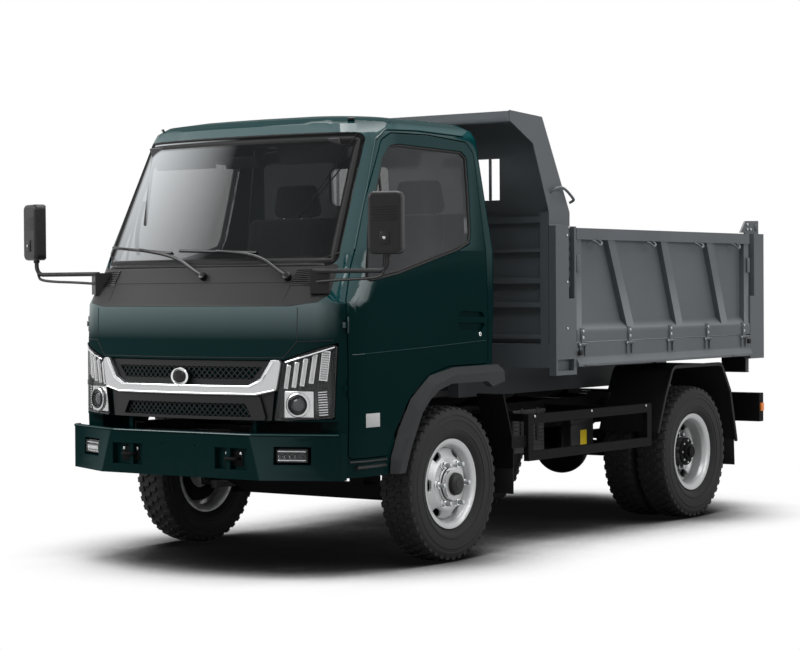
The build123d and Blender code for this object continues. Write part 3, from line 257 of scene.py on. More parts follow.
def cabPaintMaterial():
    look = cabPaintSet
    shader = Shader("deepGreenPaint")
    flakes = shader.node("TexVoronoi", {}, {"Vector": shader.place(), "Scale": look["flakeScale"]},
                         output=1)
    sparkle = shader.node("SeparateColor", {}, {0: flakes})
    facing = shader.facing()
    lift = shader.axis("Z", facing)
    # the clear coat shows on what leans back and on the hood, and fades on the sides; the same
    # masks paint a highlight into the base colour
    rise = shader.span(lift, 0.03, 0.42, 0.018, 0.50) * shader.span(lift, 0.50, 0.85, 1.0, 0.25)
    ahead = shader.span(shader.axis("Y", facing), -0.55, -0.85)
    front = ahead * shader.span(shader.axis("Z"), 1.12, 1.30)
    paintedHighlight = (rise * 2.0).most(front)
    base = shader.mix(shader.noise(1.4, 3, 0.5), look["deep"], look["even"])
    base = shader.mix(sparkle * 0.05, base, look["flake"])
    # painted highlight: the base turns a lighter teal where faces lean back and on the hood's top
    base = shader.mix(paintedHighlight * 0.9, base, look["paintedHighlight"])
    low = shader.span(shader.axis("Z"), 0.75, 0.40)
    haze = low * shader.noise(14, 5, 0.65) * 0.05
    shader.put("Base Color", shader.mix(haze, base, look["mud"]))
    shader.put("Specular IOR Level", 0.0)
    shader.put("Roughness", haze + 0.36)
    shader.put("Coat Weight", rise.most(front * 0.9))
    shader.put("Coat IOR", look["coatIor"])
    shader.put("Coat Roughness", look["coatRough"])
    shader.bump(shader.noise(46, 2, 0.5), 0.012)
    return shader.material


def glassMaterial(name, tint, alpha):
    shader = Shader(name)
    grime = shader.noise(3.5, 5, 0.6)
    shader.put("Base Color", tint)
    shader.put("Roughness", grime * 0.03)
    shader.put("Alpha", grime * 0.03 + alpha)
    shader.put("Specular IOR Level", 0.5)
    return shader.material


def windowMaterial(name, paintedSheen, edge=0.0):      # edge: the strength of a painted glow, a painted reflection, towards the right-hand pillar
    shader = Shader(name)
    haze = shader.noise(1.6, 3, 0.5)
    shader.put("Base Color", (0, 0, 0))
    shader.put("Specular IOR Level", 0.0)
    shader.put("Roughness", 0.05)
    shader.put("Alpha", haze * 0.06 + 0.40)
    # painted reflection: the glass glows white, evenly, at random and more towards the right-hand
    # pillar
    across = shader.span(shader.axis("X"), 0.02, -0.62, 0.0, edge)
    paintedGlow = across * shader.span(shader.axis("Z"), 1.50, 2.10, 0.6, 1.1)
    strength = paintedGlow + haze * paintedSheen + paintedSheen * 0.5
    shader.put("Emission Color", shader.mix(strength, (0, 0, 0), (0.93, 0.97, 1.0)))
    shader.put("Emission Strength", 1.0)
    return shader.material


def rubberMaterial(name, colour, rough):
    shader = Shader(name)
    cloud = shader.noise(7, 5, 0.6)
    light = tuple(c * 1.7 for c in colour)
    shader.put("Specular IOR Level", 0.22)
    shader.put("Base Color", shader.mix(cloud, colour, light))
    shader.put("Roughness", (cloud - 0.5) * 0.2 + rough)
    shader.bump(shader.noise(240, 3, 0.6), 0.12, 0.0006)
    return shader.material


def metalMaterial(name, colour, rough, brushed=0.0, metallic=1.0):
    shader = Shader(name)
    streak = shader.noise(12, 4, 0.6, (40, 1, 40)) if brushed else shader.noise(9, 4, 0.6)
    shade = tuple(c * 0.78 for c in colour)
    shader.put("Base Color", shader.mix(streak, shade, colour))
    shader.put("Metallic", metallic)
    shader.put("Roughness", (streak - 0.5) * (0.12 + brushed) + rough)
    shader.bump(shader.noise(180, 3, 0.5), 0.03, 0.0005)
    return shader.material


def clothMaterial(name, colour):
    shader = Shader(name)
    threads = [shader.node("TexWave", {"bands_direction": way},
                           {"Vector": shader.place(), "Scale": 130.0, "Distortion": 0.6,
                            "Detail": 1.0}, output=1) for way in "XZ"]
    weave = threads[0] * 0.5 + threads[1] * 0.5
    light = tuple(c * 1.9 for c in colour)
    shader.put("Base Color", shader.mix(weave, colour, light))
    shader.put("Roughness", 0.92)
    shader.put("Sheen Weight", 0.35)
    shader.bump(weave, 0.35, 0.0008)
    return shader.material


def rearWheelMaterial():      # the deep disc inside the rear rims is in the dark
    shader = Shader("rearWheelSilver")
    across = shader.axis("Y") - rearAxleY
    height = shader.axis("Z") - wheelHeight
    radius = (across * across + height * height) ** 0.5
    cloud = shader.noise(40, 4, 0.6)
    # painted shade: inside this radius the colour turns near black, as the deep disc is in the dark
    dustAndShade = shader.span(radius + (cloud - 0.5) * 0.02, 0.172, 0.140)
    shader.put("Base Color", shader.mix(dustAndShade, (0.44, 0.445, 0.45), (0.018, 0.018, 0.018)))
    shader.put("Metallic", dustAndShade * -0.3 + 0.35)
    shader.put("Roughness", dustAndShade * 0.25 + 0.36)
    shader.put("Coat Weight", 0.1)
    shader.bump(shader.noise(150, 2, 0.5), 0.04, 0.0006)
    return shader.material


materials = {
    "cabPaint": cabPaintMaterial(),
    "bedPaint": dustyPaint("slateBedPaint", (0.080, 0.090, 0.098), 0.40, dustAndShade=0.04, shine=0.16,
                           upwardPaleness=0.42),
    "framePaint": dustyPaint("chassisBlack", (0.006, 0.006, 0.0065), 0.50, dustAndShade=0.01, shine=0.03),
    "flarePlastic": dustyPaint("grainedFlarePlastic", (0.026, 0.027, 0.0285), 0.58, dustAndShade=0.02,
                               grain=0.30, shine=0.12),
    "cowlPlastic": dustyPaint("cowlBlackPlastic", (0.012, 0.012, 0.0125), 0.46, grain=0.22,
                              shine=0.22),
    "blackPlastic": dustyPaint("mouldedBlackPlastic", (0.009, 0.009, 0.010), 0.42, grain=0.20,
                               shine=0.22),
    "glossBlack": dustyPaint("glossBlackPlastic", (0.005, 0.005, 0.006), 0.22, 0.1),
    "screenGlass": windowMaterial("screenGlass", 0.022, 0.95),
    "sideGlass": windowMaterial("sideGlass", 0.075),
    "lensGlass": glassMaterial("lampLens", (0.10, 0.105, 0.11), 0.10),
    "tyreRubber": rubberMaterial("tyreRubber", (0.011, 0.011, 0.011), 0.70),
    "sealRubber": rubberMaterial("sealRubber", (0.006, 0.006, 0.006), 0.55),
    "flapRubber": rubberMaterial("flapRubber", (0.006, 0.006, 0.006), 0.66),
    "rearWheelSilver": rearWheelMaterial(),
    "wheelSilver": dustyPaint("wheelSilver", (0.47, 0.475, 0.48), 0.36, 0.1, dustAndShade=0.03,
                              metallic=0.35, shine=0.4),
    "chrome": metalMaterial("brightChrome", (0.86, 0.87, 0.88), 0.07),
    "satinSilver": metalMaterial("satinSilver", (0.58, 0.585, 0.59), 0.30, 0.05, 0.8),
    "zinc": metalMaterial("zincPlate", (0.50, 0.52, 0.53), 0.34),
    "exhaustSteel": metalMaterial("exhaustSteel", (0.24, 0.20, 0.17), 0.55),
    "castIron": metalMaterial("castIron", (0.07, 0.07, 0.072), 0.62, metallic=0.6),
    "seatCloth": clothMaterial("seatCloth", (0.016, 0.016, 0.018)),
    "trimPlastic": dustyPaint("dashTrim", (0.030, 0.031, 0.033), 0.60, grain=0.35),
    "redLens": glassMaterial("redLens", (0.40, 0.008, 0.006), 0.93),
    "reverseLens": glassMaterial("reverseLens", (0.55, 0.56, 0.56), 0.9),
    "lampHousing": dustyPaint("lampHousing", (0.010, 0.010, 0.011), 0.30, 0.2),
    "lampChrome": metalMaterial("lampReflector", (0.90, 0.905, 0.91), 0.16),
    "ledWhite": dustyPaint("ledDiffuser", (0.80, 0.81, 0.82), 0.25, 0.4),
    "indicatorClear": dustyPaint("indicatorReflector", (0.50, 0.50, 0.50), 0.22, 0.4),
    "projectorGlass": dustyPaint("projectorLens", (0.05, 0.055, 0.06), 0.05, 1.0),
    "mirrorFace": metalMaterial("mirrorFace", (0.85, 0.86, 0.87), 0.03),
    "yellowLabel": dustyPaint("yellowLabel", (0.60, 0.44, 0.01), 0.45, 0.1, dustAndShade=0.1),
    "plainLabel": dustyPaint("plainLabel", (0.42, 0.42, 0.42), 0.40, 0.1),
    "amberLens": glassMaterial("amberLens", (0.85, 0.22, 0.01), 0.92),
}
print("materials made:", len(materials))


# modelling helpers

def alone(piece):
    bpy.ops.object.select_all(action="DESELECT")
    piece.select_set(True)
    bpy.context.view_layer.objects.active = piece


def openMesh(piece):
    alone(piece)
    bpy.ops.object.mode_set(mode="EDIT")
    bpy.ops.mesh.select_all(action="SELECT")


def closeMesh():
    bpy.ops.object.mode_set(mode="OBJECT")


def bakePlace(piece):
    alone(piece)
    bpy.ops.object.transform_apply(location=True, rotation=True, scale=True)


def applyAll(piece):
    alone(piece)
    for modifier in list(piece.modifiers):
        bpy.ops.object.modifier_apply(modifier=modifier.name)


def smooth(piece, angle):
    alone(piece)
    bpy.ops.object.shade_smooth_by_angle(angle=math.radians(angle))


def bevelled(piece, width, segments=2, angle=38):
    modifier = piece.modifiers.new("edges", "BEVEL")
    modifier.width = width
    modifier.segments = segments
    modifier.limit_method = "ANGLE"
    modifier.angle_limit = math.radians(angle)
    applyAll(piece)


def coat(piece, material):
    piece.data.materials.clear()
    piece.data.materials.append(materials[material])
    return piece


def coated(material, parts):
    return [coat(part, material) for part in parts]


def slotOf(node):
    return next(s["material_slot"] for s in frame["record"]["subparts"] if s["node"] == node)


def named(piece, name, body, node):
    piece.name = name
    piece.data.name = name
    slotOf(node)
    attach(piece, body)
    return piece


def copyOf(node):      # a free copy of a CAD node
    piece = nodes[node].copy()
    piece.data = nodes[node].data.copy()
    piece.parent = None
    piece.matrix_world = Matrix.Identity(4)
    for key in list(piece.keys()):
        if key.startswith("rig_"):
            del piece[key]
    bpy.context.scene.collection.objects.link(piece)
    return piece


def dress(node, material, edge=0.002, angle=32, flat=0.8):
    piece = copyOf(node)
    openMesh(piece)
    bpy.ops.mesh.remove_doubles(threshold=weldGap)
    bpy.ops.mesh.dissolve_limited(angle_limit=math.radians(flat))
    closeMesh()
    if edge:
        bevelled(piece, edge)
    smooth(piece, angle)
    weighted = piece.modifiers.new("weighted", "WEIGHTED_NORMAL")
    weighted.keep_sharp = True
    weighted.weight = 60
    applyAll(piece)
    coat(piece, material)
    named(piece, node + "Dressed", nodes[node]["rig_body"], node)
    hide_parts(node)
    return piece


rimLook = (0.0, 28, 0.02)      # no bevel, smooth below 28 degrees, hardly a face dissolved
dressing = {                   # material and bevel of each CAD node
    "cab_shell": ("cabPaint", 0.004),
    "door_left": ("cabPaint", 0.004), "door_right": ("cabPaint", 0.004),
    "cowl_panel": ("cowlPlastic", 0.004), "cab_glass": ("screenGlass", 0.0),
    "door_glass_left": ("sideGlass", 0.0), "door_glass_right": ("sideGlass", 0.0),
    "arch_flares": ("flarePlastic", 0.006), "grille": ("blackPlastic", 0.001),
    "grille_bar": ("satinSilver", 0.003),
    "mirrors": ("blackPlastic", 0.002), "dashboard": ("trimPlastic", 0.004),
    "front_bumper": ("cabPaint", 0.005), "fog_lamps": ("glossBlack", 0.003),
    "frame_rails": ("framePaint", 0.002), "front_axle": ("framePaint", 0.003),
    "leaf_springs": ("framePaint", 0.001),
    "rear_axle": ("framePaint", 0.003), "engine": ("castIron", 0.008),
    "knuckle_left": ("castIron", 0.002), "knuckle_right": ("castIron", 0.002),
    "tie_rod": ("framePaint", 0.0),
    "rim_front_left": ("wheelSilver", *rimLook), "rim_front_right": ("wheelSilver", *rimLook),
    "rim_rear_left": ("rearWheelSilver", *rimLook),
    "rim_rear_right": ("rearWheelSilver", *rimLook),
    "fuel_tank": ("framePaint", 0.004), "battery_box": ("blackPlastic", 0.004),
    "exhaust": ("exhaustSteel", 0.002),
    "side_guards": ("framePaint", 0.002), "rear_mudguards": ("flapRubber", 0.001),
    "rear_bumper": ("framePaint", 0.004), "bed_floor": ("bedPaint", 0.002),
    "tail_lamps": ("blackPlastic", 0.004),
    "headboard": ("bedPaint", 0.002), "bed_posts": ("bedPaint", 0.003),
    "side_gate_left": ("bedPaint", 0.003), "side_gate_right": ("bedPaint", 0.003),
    "tailgate": ("bedPaint", 0.003), "hoist_barrel": ("framePaint", 0.002),
    "hoist_rod": ("chrome", 0.001),
}
for dressedNode, look in dressing.items():
    dress(dressedNode, *look)
print("nodes dressed:", len(dressing))


# making pieces, in millimetres with y from the front axle

surfaces = {}


def at(x, y, z):
    return Vector((x / 1000, axleY + y / 1000, z / 1000))


def surfaceOf(node):
    if node not in surfaces:
        mesh = nodes[node].data
        surfaces[node] = BVHTree.FromPolygons([v.co for v in mesh.vertices],
                                              [tuple(f.vertices) for f in mesh.polygons])
    return surfaces[node]


def touchPoint(node, first, second, way="front"):      # the left looks at y and z
    if way == "left":
        start, aim = at(1500, first, second), Vector((-1, 0, 0))
    else:
        start, aim = at(first, -1700, second), Vector((0, 1, 0))
    point, normal = surfaceOf(node).ray_cast(start, aim)[:2]
    if point is None:
        point, normal = surfaceOf(node).find_nearest(start)[:2]
    return point, normal


def block(size, centre=(0, 0, 0), turn=(0, 0, 0), edge=0.002, segments=2):
    bpy.ops.object.select_all(action="DESELECT")
    bpy.ops.mesh.primitive_cube_add(size=1, location=centre,
                                    rotation=[math.radians(a) for a in turn])
    piece = bpy.context.object
    piece.scale = [s / 1000 for s in size]
    bakePlace(piece)
    if edge:
        bevelled(piece, edge, segments)
    return piece


def slab(material, size, place, edge=0.002, turn=(0, 0, 0), segments=2):
    return coat(block(size, at(*place), turn, edge, segments), material)


def rod(radius, start, end, sides=20, edge=0.0008):
    start, end = Vector(start), Vector(end)
    bpy.ops.object.select_all(action="DESELECT")
    bpy.ops.mesh.primitive_cone_add(vertices=sides, radius1=radius / 1000, radius2=radius / 1000,
                                    depth=(end - start).length, location=(start + end) / 2)
    piece = bpy.context.object
    piece.rotation_euler = (end - start).to_track_quat("Z", "Y").to_euler()
    bakePlace(piece)
    if edge:
        bevelled(piece, edge, 2)
    return piece


def bolt(radius, start, end, edge=0.001):
    return coat(rod(radius, start, end, 6, edge), "zinc")


def tube(points, radius, closed=False, sides=3, kind="NURBS"):
    curve = bpy.data.curves.new("path", "CURVE")
    curve.dimensions = "3D"
    spline = curve.splines.new(kind)
    spline.points.add(len(points) - 1)
    for place, point in zip(spline.points, points):
        place.co = (*point, 1)
    spline.use_cyclic_u = closed
    if kind == "NURBS":
        spline.order_u = 3
        spline.use_endpoint_u = not closed
        spline.resolution_u = 5
    curve.bevel_depth = radius / 1000
    curve.bevel_resolution = sides
    curve.use_fill_caps = True
    line = bpy.data.objects.new("path", curve)
    bpy.context.scene.collection.objects.link(line)
    alone(line)
    bpy.ops.object.convert(target="MESH")
    return bpy.context.object


def turned(profile, centre=(0, 0, 0), steps=64):      # spun about x
    mesh = bpy.data.meshes.new("turned")
    count = len(profile)
    mesh.from_pydata([(x / 1000, 0, radius / 1000) for x, radius in profile],
                     [(i, (i + 1) % count) for i in range(count)], [])
    piece = bpy.data.objects.new("turned", mesh)
    bpy.context.scene.collection.objects.link(piece)
    openMesh(piece)
    bpy.ops.mesh.spin(steps=steps, angle=2 * math.pi, center=(0, 0, 0), axis=(1, 0, 0))
    bpy.ops.mesh.select_all(action="SELECT")
    bpy.ops.mesh.remove_doubles(threshold=weldGap)
    bpy.ops.mesh.normals_make_consistent(inside=False)
    closeMesh()
    piece.location = centre
    bakePlace(piece)
    return piece


def turnedAhead(profile, steps=40):      # spun about y, the way a lamp looks
    piece = turned(profile, steps=steps)
    piece.data.transform(Matrix.Rotation(math.radians(90), 4, "Z"))
    return piece


def twin(piece, matrix):
    copy = piece.copy()
    copy.data = piece.data.copy()
    bpy.context.scene.collection.objects.link(copy)
    copy.data.transform(matrix)
    return copy


def mirrored(piece):
    copy = twin(piece, Matrix.Scale(-1, 4, (1, 0, 0)))
    copy.data.flip_normals()
    return copy


def bothSides(parts):
    return [*parts, *[mirrored(part) for part in parts]]


def merged(parts):
    bpy.ops.object.select_all(action="DESELECT")
    for part in parts:
        part.select_set(True)
    bpy.context.view_layer.objects.active = parts[0]
    if len(parts) > 1:
        bpy.ops.object.join()
    return parts[0]


def joined(parts, name, body, node, angle=35):      # node: the CAD node whose slot is looked up
    piece = merged(parts)
    smooth(piece, angle)
    return named(piece, name, body, node)


def joinedPair(parts, name, body, node):
    others = [mirrored(part) for part in parts]
    joined(parts, name + "Left", "left_" + body, node + "_left")
    joined(others, name + "Right", "right_" + body, node + "_right")


def seated(piece, node, first, second, sink=0.0, spin=0.0):      # on a face at the front
    point, normal = touchPoint(node, first, second)
    out = normal.normalized()
    if out.y > 0:
        out = -out
    side = Vector((0, 0, 1)).cross(-out).normalized()
    up = side.cross(-out)
    frameTurn = Matrix((side, -out, up)).transposed().to_4x4()
    piece.data.transform(Matrix.Translation(point - out * sink / 1000) @ frameTurn
                         @ Matrix.Rotation(math.radians(spin), 4, "Y"))
    return piece


def softLine(node, outline, radius, closed=True, way="front", step=40, lift=0.0):
    def lifted(first, second):
        point, normal = touchPoint(node, first, second, way)
        return point + normal.normalized() * lift / 1000

    points = []
    count = len(outline)
    for i in range(count if closed else count - 1):
        a, b = Vector(outline[i]), Vector(outline[(i + 1) % count])
        cuts = max(1, int((b - a).length / step))
        for k in range(cuts):
            spot = a.lerp(b, k / cuts)
            points.append(lifted(spot.x, spot.y))
    if not closed:
        points.append(lifted(*outline[-1]))
    return tube(points, radius, closed, kind="POLY")


# tyres

tyreSet = {
    "blocks": 44, "treadRadius": 390,
    # low edge, high edge, width, skew, height and shoulder drop of a tread block
    "shoulder": (46, 92, 34, 4, 10, 26), "middle": (4, 40, 26, 7, 9, 0),
    "halfSection": [
        (60, 208.6), (64, 214), (66, 227), (70, 233), (80, 243), (90, 256), (94, 266), (94, 271),
        (97, 272), (97, 276), (95, 278), (96.5, 300), (96.5, 318), (99, 320), (99, 326),
        (96.5, 329), (95, 342), (97, 344), (97, 350), (93, 360), (88, 371), (78, 379), (50, 380.5)],
    "wheels": {"front_left": (801,), "front_right": (-801,),
               "rear_left": (830, 606), "rear_right": (-830, -606)},
}


def treadBlock(low, high, width, skew, height, drop):
    top = tyreSet["treadRadius"]
    foot = top - height - 3
    half, highFoot, highTop = width / 2, foot - drop, top - drop * 0.35
    shape = {
        (-1, -1, -1): (low, -half - skew, foot), (1, -1, -1): (high, -half + skew, highFoot),
        (1, 1, -1): (high, half + skew, highFoot), (-1, 1, -1): (low, half - skew, foot),
        (-1, -1, 1): (low + 2, -half + 3 - skew, top),
        (1, -1, 1): (high - 2, -half + 3 + skew, highTop),
        (1, 1, 1): (high - 2, half - 3 + skew, highTop),
        (-1, 1, 1): (low + 2, half - 3 - skew, top)}
    bpy.ops.object.select_all(action="DESELECT")
    bpy.ops.mesh.primitive_cube_add(size=1)
    piece = bpy.context.object
    for vertex in piece.data.vertices:
        key = tuple(1 if c > 0 else -1 for c in vertex.co)
        vertex.co = [c / 1000 for c in shape[key]]
    bevelled(piece, 0.0016, 1, 20)
    return piece


def makeTyre():
    half = tyreSet["halfSection"]
    pieces = [turned(half + [(-x, radius) for x, radius in reversed(half)], steps=96)]
    count = tyreSet["blocks"]
    shoulder = treadBlock(*tyreSet["shoulder"])
    middle = treadBlock(*tyreSet["middle"])
    for k in range(count):
        angle = 2 * math.pi * k / count
        for part, lag in ((shoulder, 0.0), (middle, 0.5)):
            turn = Matrix.Rotation(angle + lag * 2 * math.pi / count, 4, "X")
            pieces.append(twin(part, turn))
            other = twin(part, Matrix.Rotation(math.pi, 4, "Z"))
            other.data.transform(Matrix.Rotation(angle + (lag + 0.5) * 2 * math.pi / count, 4, "X"))
            pieces.append(other)
    bpy.data.objects.remove(shoulder)
    bpy.data.objects.remove(middle)
    return coat(merged(pieces), "tyreRubber")


wheelBodies = {"front_left": "front_left_wheel", "front_right": "front_right_wheel",
               "rear_left": "rear_left_wheels", "rear_right": "rear_right_wheels"}
master = makeTyre()
for corner, centres in tyreSet["wheels"].items():
    axle = axleY if corner.startswith("front") else rearAxleY
    tyres = [twin(master, Matrix.Translation((x / 1000, axle, wheelHeight))) for x in centres]
    tyre = joined(tyres, corner + "TyreTread", wheelBodies[corner], "tyre_" + corner, 30)
    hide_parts("tyre_" + corner)
bpy.data.objects.remove(master)
print("tyres made")


# wheel hubs, studs and caps

hubSet = {
    "studs": 6, "studCircle": 111, "nut": (4, 20), "thread": 3,
    # x and radius, of the left-hand side
    "cap": [(866, 0.4), (866, 84), (880, 83), (886, 78), (888, 60), (905, 57), (918, 54),
            (924, 46), (926, 30), (928, 28), (928, 0.4)],
    "collar": [(864, 86), (864, 96), (871, 96), (873, 92), (873, 86)],
    "brake": [(772, 96), (772, 160), (778, 165), (812, 165), (816, 161), (816, 96)],
    "rearHub": [(858, 34), (858, 80), (866, 82), (870, 78), (872, 50), (884, 46), (888, 40),
                (888, 0.4), (858, 0.4)],
}


def nutAndStud(x, reach, out):
    def along(radius, start, end, sides, edge):
        return rod(radius, ((x + start * out) / 1000, 0, 0), ((x + end * out) / 1000, 0, 0),
                   sides, edge)

    low, high = hubSet["nut"]
    nut = [along(21, 0, low, 24, 0.0006), along(18.5, low, high, 6, 0.0015)]
    stud = [along(11, high - 2, reach, 16, 0.002)]
    stud += [along(11.6, k, k + 1.4, 16, 0.0) for k in range(high + 2, reach - 3, hubSet["thread"])]
    return coated("chrome", nut) + coated("zinc", stud)


def studRing(x, reach, out, axle):
    made = []
    for part in nutAndStud(x, reach, out):
        part.data.transform(Matrix.Translation((0, 0, hubSet["studCircle"] / 1000)))
        for k in range(hubSet["studs"]):
            copy = twin(part, Matrix.Rotation(2 * math.pi * (k + 0.5) / hubSet["studs"], 4, "X"))
            copy.data.transform(Matrix.Translation((0, axle, wheelHeight)))
            made.append(copy)
        bpy.data.objects.remove(part)
    return made


def boltRing(count, circle, radius, ends, edge, side, axle):
    made = []
    for k in range(count):
        angle = 2 * math.pi * k / count
        y, z = axle + circle * math.cos(angle), wheelHeight + circle * math.sin(angle)
        made.append(bolt(radius, *[(x * side, y, z) for x in ends], edge))
    return made


def hubPart(name, material, side, axle):
    profile = [(x * side, radius) for x, radius in hubSet[name]]
    return coat(turned(profile, (0, axle, wheelHeight), 48), material)


for sideName, side in (("left", 1), ("right", -1)):
    hub = [hubPart(name, material, side, axleY) for name, material in
           (("cap", "blackPlastic"), ("collar", "wheelSilver"), ("brake", "framePaint"))]
    hub += boltRing(6, 0.069, 6, (0.886, 0.893), 0.0008, side, axleY)
    hub += studRing(864 * side, 52, side, axleY)
    joined(hub, "frontHub" + sideName.capitalize(), "front_" + sideName + "_wheel",
           "rim_front_" + sideName)
    hub = [hubPart("rearHub", "framePaint", side, rearAxleY)]
    hub += boltRing(8, 0.065, 7, (0.868, 0.879), 0.001, side, rearAxleY)
    hub += studRing(776 * side, 46, side, rearAxleY)
    joined(hub, "rearHub" + sideName.capitalize(), "rear_" + sideName + "_wheels",
           "rim_rear_" + sideName)
print("hubs made")


# headlamps, with their lens, tub and inner parts

def cornerWay(point):      # which way the lamp's own front looks at a place
    x, y = point.x, point.y - axleY
    if abs(x) < 0.545:
        return Vector((x, y - 1.465, 0)).normalized()
    return Vector((x - math.copysign(0.57, x), y + 0.670, 0)).normalized()


def lampShells():
    made = []
    for name, front in (("headlampLens", True), ("headlampTub", False)):
        piece = copyOf("headlamps")
        mesh = bmesh.new()
        mesh.from_mesh(piece.data)
        bmesh.ops.remove_doubles(mesh, verts=mesh.verts, dist=weldGap)
        lose = [f for f in mesh.faces
                if (f.normal.dot(cornerWay(f.calc_center_median())) > 0.9) != front]
        bmesh.ops.delete(mesh, geom=lose, context="FACES")
        mesh.to_mesh(piece.data)
        mesh.free()
        wall = piece.modifiers.new("wall", "SOLIDIFY")
        wall.thickness = 0.0025
        wall.offset = -1
        applyAll(piece)
        coat(piece, "lensGlass" if front else "lampHousing")
        made.append(joined([piece], name, "cab", "headlamps", 30))
    for piece in made:
        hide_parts("headlamps")


lampShells()
lampSet = {      # x, z, slant and length, in the lamp's face
    "bars": [(592, 956, 9, 104), (634, 966, 9, 112), (676, 978, 9, 122), (718, 994, 9, 130)],
    "indicator": (764, 1008, 7, 134), "indicatorRibs": 12,
    "column": (757, 830, -3, 120), "columnRibs": 10,
    "projector": (646, 824, 46),      # x, z and radius
    "topTrim": [(590, 1026), (660, 1047), (730, 1070), (796, 1096)],
}


def ribs(count, size, length, material):
    return [coat(block(size, (0, 0, (k - (count - 1) / 2) * length / (count * 1000))), material)
            for k in range(count)]


def projector(radius):
    made = []
    for outer, inner, front, material in ((radius + 14, radius + 3, -8, "lampChrome"),
                                          (radius + 3, radius - 6, -14, "glossBlack")):
        ring = [(front, outer - 3), (front - 3, outer), (front + 18, outer), (front + 18, inner),
                (front - 3, inner)]
        made.append(coat(turnedAhead(ring), material))
    lens = [(6, 0.3), (6, radius - 6), (0, radius - 6), (-6, radius * 0.72), (-11, radius * 0.4),
            (-13, 0.3)]
    made.append(coat(turnedAhead(lens), "projectorGlass"))
    made.append(coat(block((150, 6, 128), edge=0.01, centre=(0, 0.009, 0)), "lampChrome"))
    return made


def lampInsides():
    parts = []

    def seat(made, x, z, sink, slant=0.0):
        parts.extend(seated(part, "headlamps", x, z, sink, slant) for part in made)

    for x, z, slant, length in lampSet["bars"]:
        seat([coat(block((15, 9, length), edge=0.003), "ledWhite")], x, z, 11, slant)
        seat([coat(block((25, 7, length + 12), edge=0.003), "lampChrome")], x, z, 15, slant)
    x, z, slant, length = lampSet["indicator"]
    seat(ribs(lampSet["indicatorRibs"], (34, 8, 7), length, "indicatorClear"), x, z, 12, slant)
    seat([coat(block((42, 5, length + 10), edge=0.003), "lampChrome")], x, z, 17, slant)
    x, z, radius = lampSet["projector"]
    seat(projector(radius), x, z, 17)
    x, z, slant, length = lampSet["column"]
    seat(ribs(lampSet["columnRibs"], (44, 8, 6), length, "lampChrome"), x, z, 15, slant)
    return parts


joined(bothSides(lampInsides()), "headlampInsides", "cab", "headlamps", 30)
chromeLip = softLine("headlamps", lampSet["topTrim"], 4.5, False, lift=0.5)
joined(bothSides([coat(chromeLip, "chrome")]), "headlampTopTrim", "cab", "grille_bar")
print("headlamps made")


# grille boss, bar trim and bumper fittings

bossSet = {
    "lift": (0, -0.004, 0.047),
    "tall": 0.80,      # the boss is a flattened round
    "rim": [(14, 0.3), (14, 50), (4, 55), (-4, 55), (-8, 51), (-8, 46), (-4, 42), (-5, 26),
            (-7, 14), (-8, 0.3)],
    "disc": [(-4, 40), (-7, 40), (-9.5, 36), (-9.5, 0.3), (-6, 0.3)],
}
barSet = {      # outline, thickness and lift of the bright edges of the grille bar
    "upper": ([(-530, 1028), (-470, 938), (-404, 909), (404, 909), (470, 938), (530, 1028)], 6, 1),
    "lower": ([(-536, 893), (-440, 874), (440, 874), (536, 893)], 4, 0.5),
}


def flatRound(profile, steps, material):
    piece = turnedAhead(profile, steps)
    piece.data.transform(Matrix.Scale(bossSet["tall"], 4, (0, 0, 1)))
    return coat(piece, material)


def grilleBoss():
    boss = flatRound(bossSet["rim"], 64, "chrome")
    stem = coat(block((40, 26, 40), (0, 0.016, 0), edge=0.003), "blackPlastic")
    disc = flatRound(bossSet["disc"], 48, "glossBlack")
    made = [seated(part, "grille_bar", 0, 905, 2) for part in (boss, stem, disc)]
    for part in made:
        part.data.transform(Matrix.Translation(bossSet["lift"]))
    return made


joined(grilleBoss(), "grilleBoss", "cab", "grille_bar")
barTrim = [softLine("grille_bar", outline, thick, False, lift=lift)
           for outline, thick, lift in barSet.values()]
joined(coated("chrome", barTrim), "grilleBarTrim", "cab", "grille_bar")


towSet = {
    "x": 331, "z": 566, "wire": 9,
    "loop": [(-34, -1030), (-34, -1058), (-30, -1070), (30, -1070), (34, -1058), (34, -1030)],
}
fogSet = {
    "place": (636, 585), "cells": 5, "pitch": 26,
    "cup": [(-10, 11.5), (-12, 12.5), (6, 12.5), (6, 0.3), (3, 0.3), (1, 7)],
}


def towLoops():
    hooks = []
    z = towSet["z"]
    for side in (-1, 1):
        x = towSet["x"] * side
        points = [at(x + dx, y, z) for dx, y in towSet["loop"]]
        hooks.append(coat(tube(points, towSet["wire"]), "framePaint"))
        hooks.append(slab("framePaint", (110, 6, 70), (x, -1036, z)))
        for dx in (-44, 44):
            hooks.append(bolt(8, at(x + dx, -1036, 590), at(x + dx, -1044, 590), 0.0008))
    return hooks


def fogCells():
    cells = []
    for k in range(fogSet["cells"]):
        x = (k - (fogSet["cells"] - 1) / 2) * fogSet["pitch"] / 1000
        cup = turnedAhead(fogSet["cup"], 24)
        cup.data.transform(Matrix.Translation((x, 0, 0.004)))
        cells.append(coat(cup, "lampChrome"))
        cells.append(coat(block((9, 5, 9), (x, 0.001, 0.004), edge=0.001), "ledWhite"))
    for z in (0.021, -0.021):
        cells.append(coat(block((138, 4, 5), (0, -0.010, z), edge=0.001), "chrome"))
    cells.append(coat(block((146, 4, 60), (0, -0.016, 0), edge=0.006), "lensGlass"))
    return [seated(part, "fog_lamps", *fogSet["place"], 2) for part in cells]


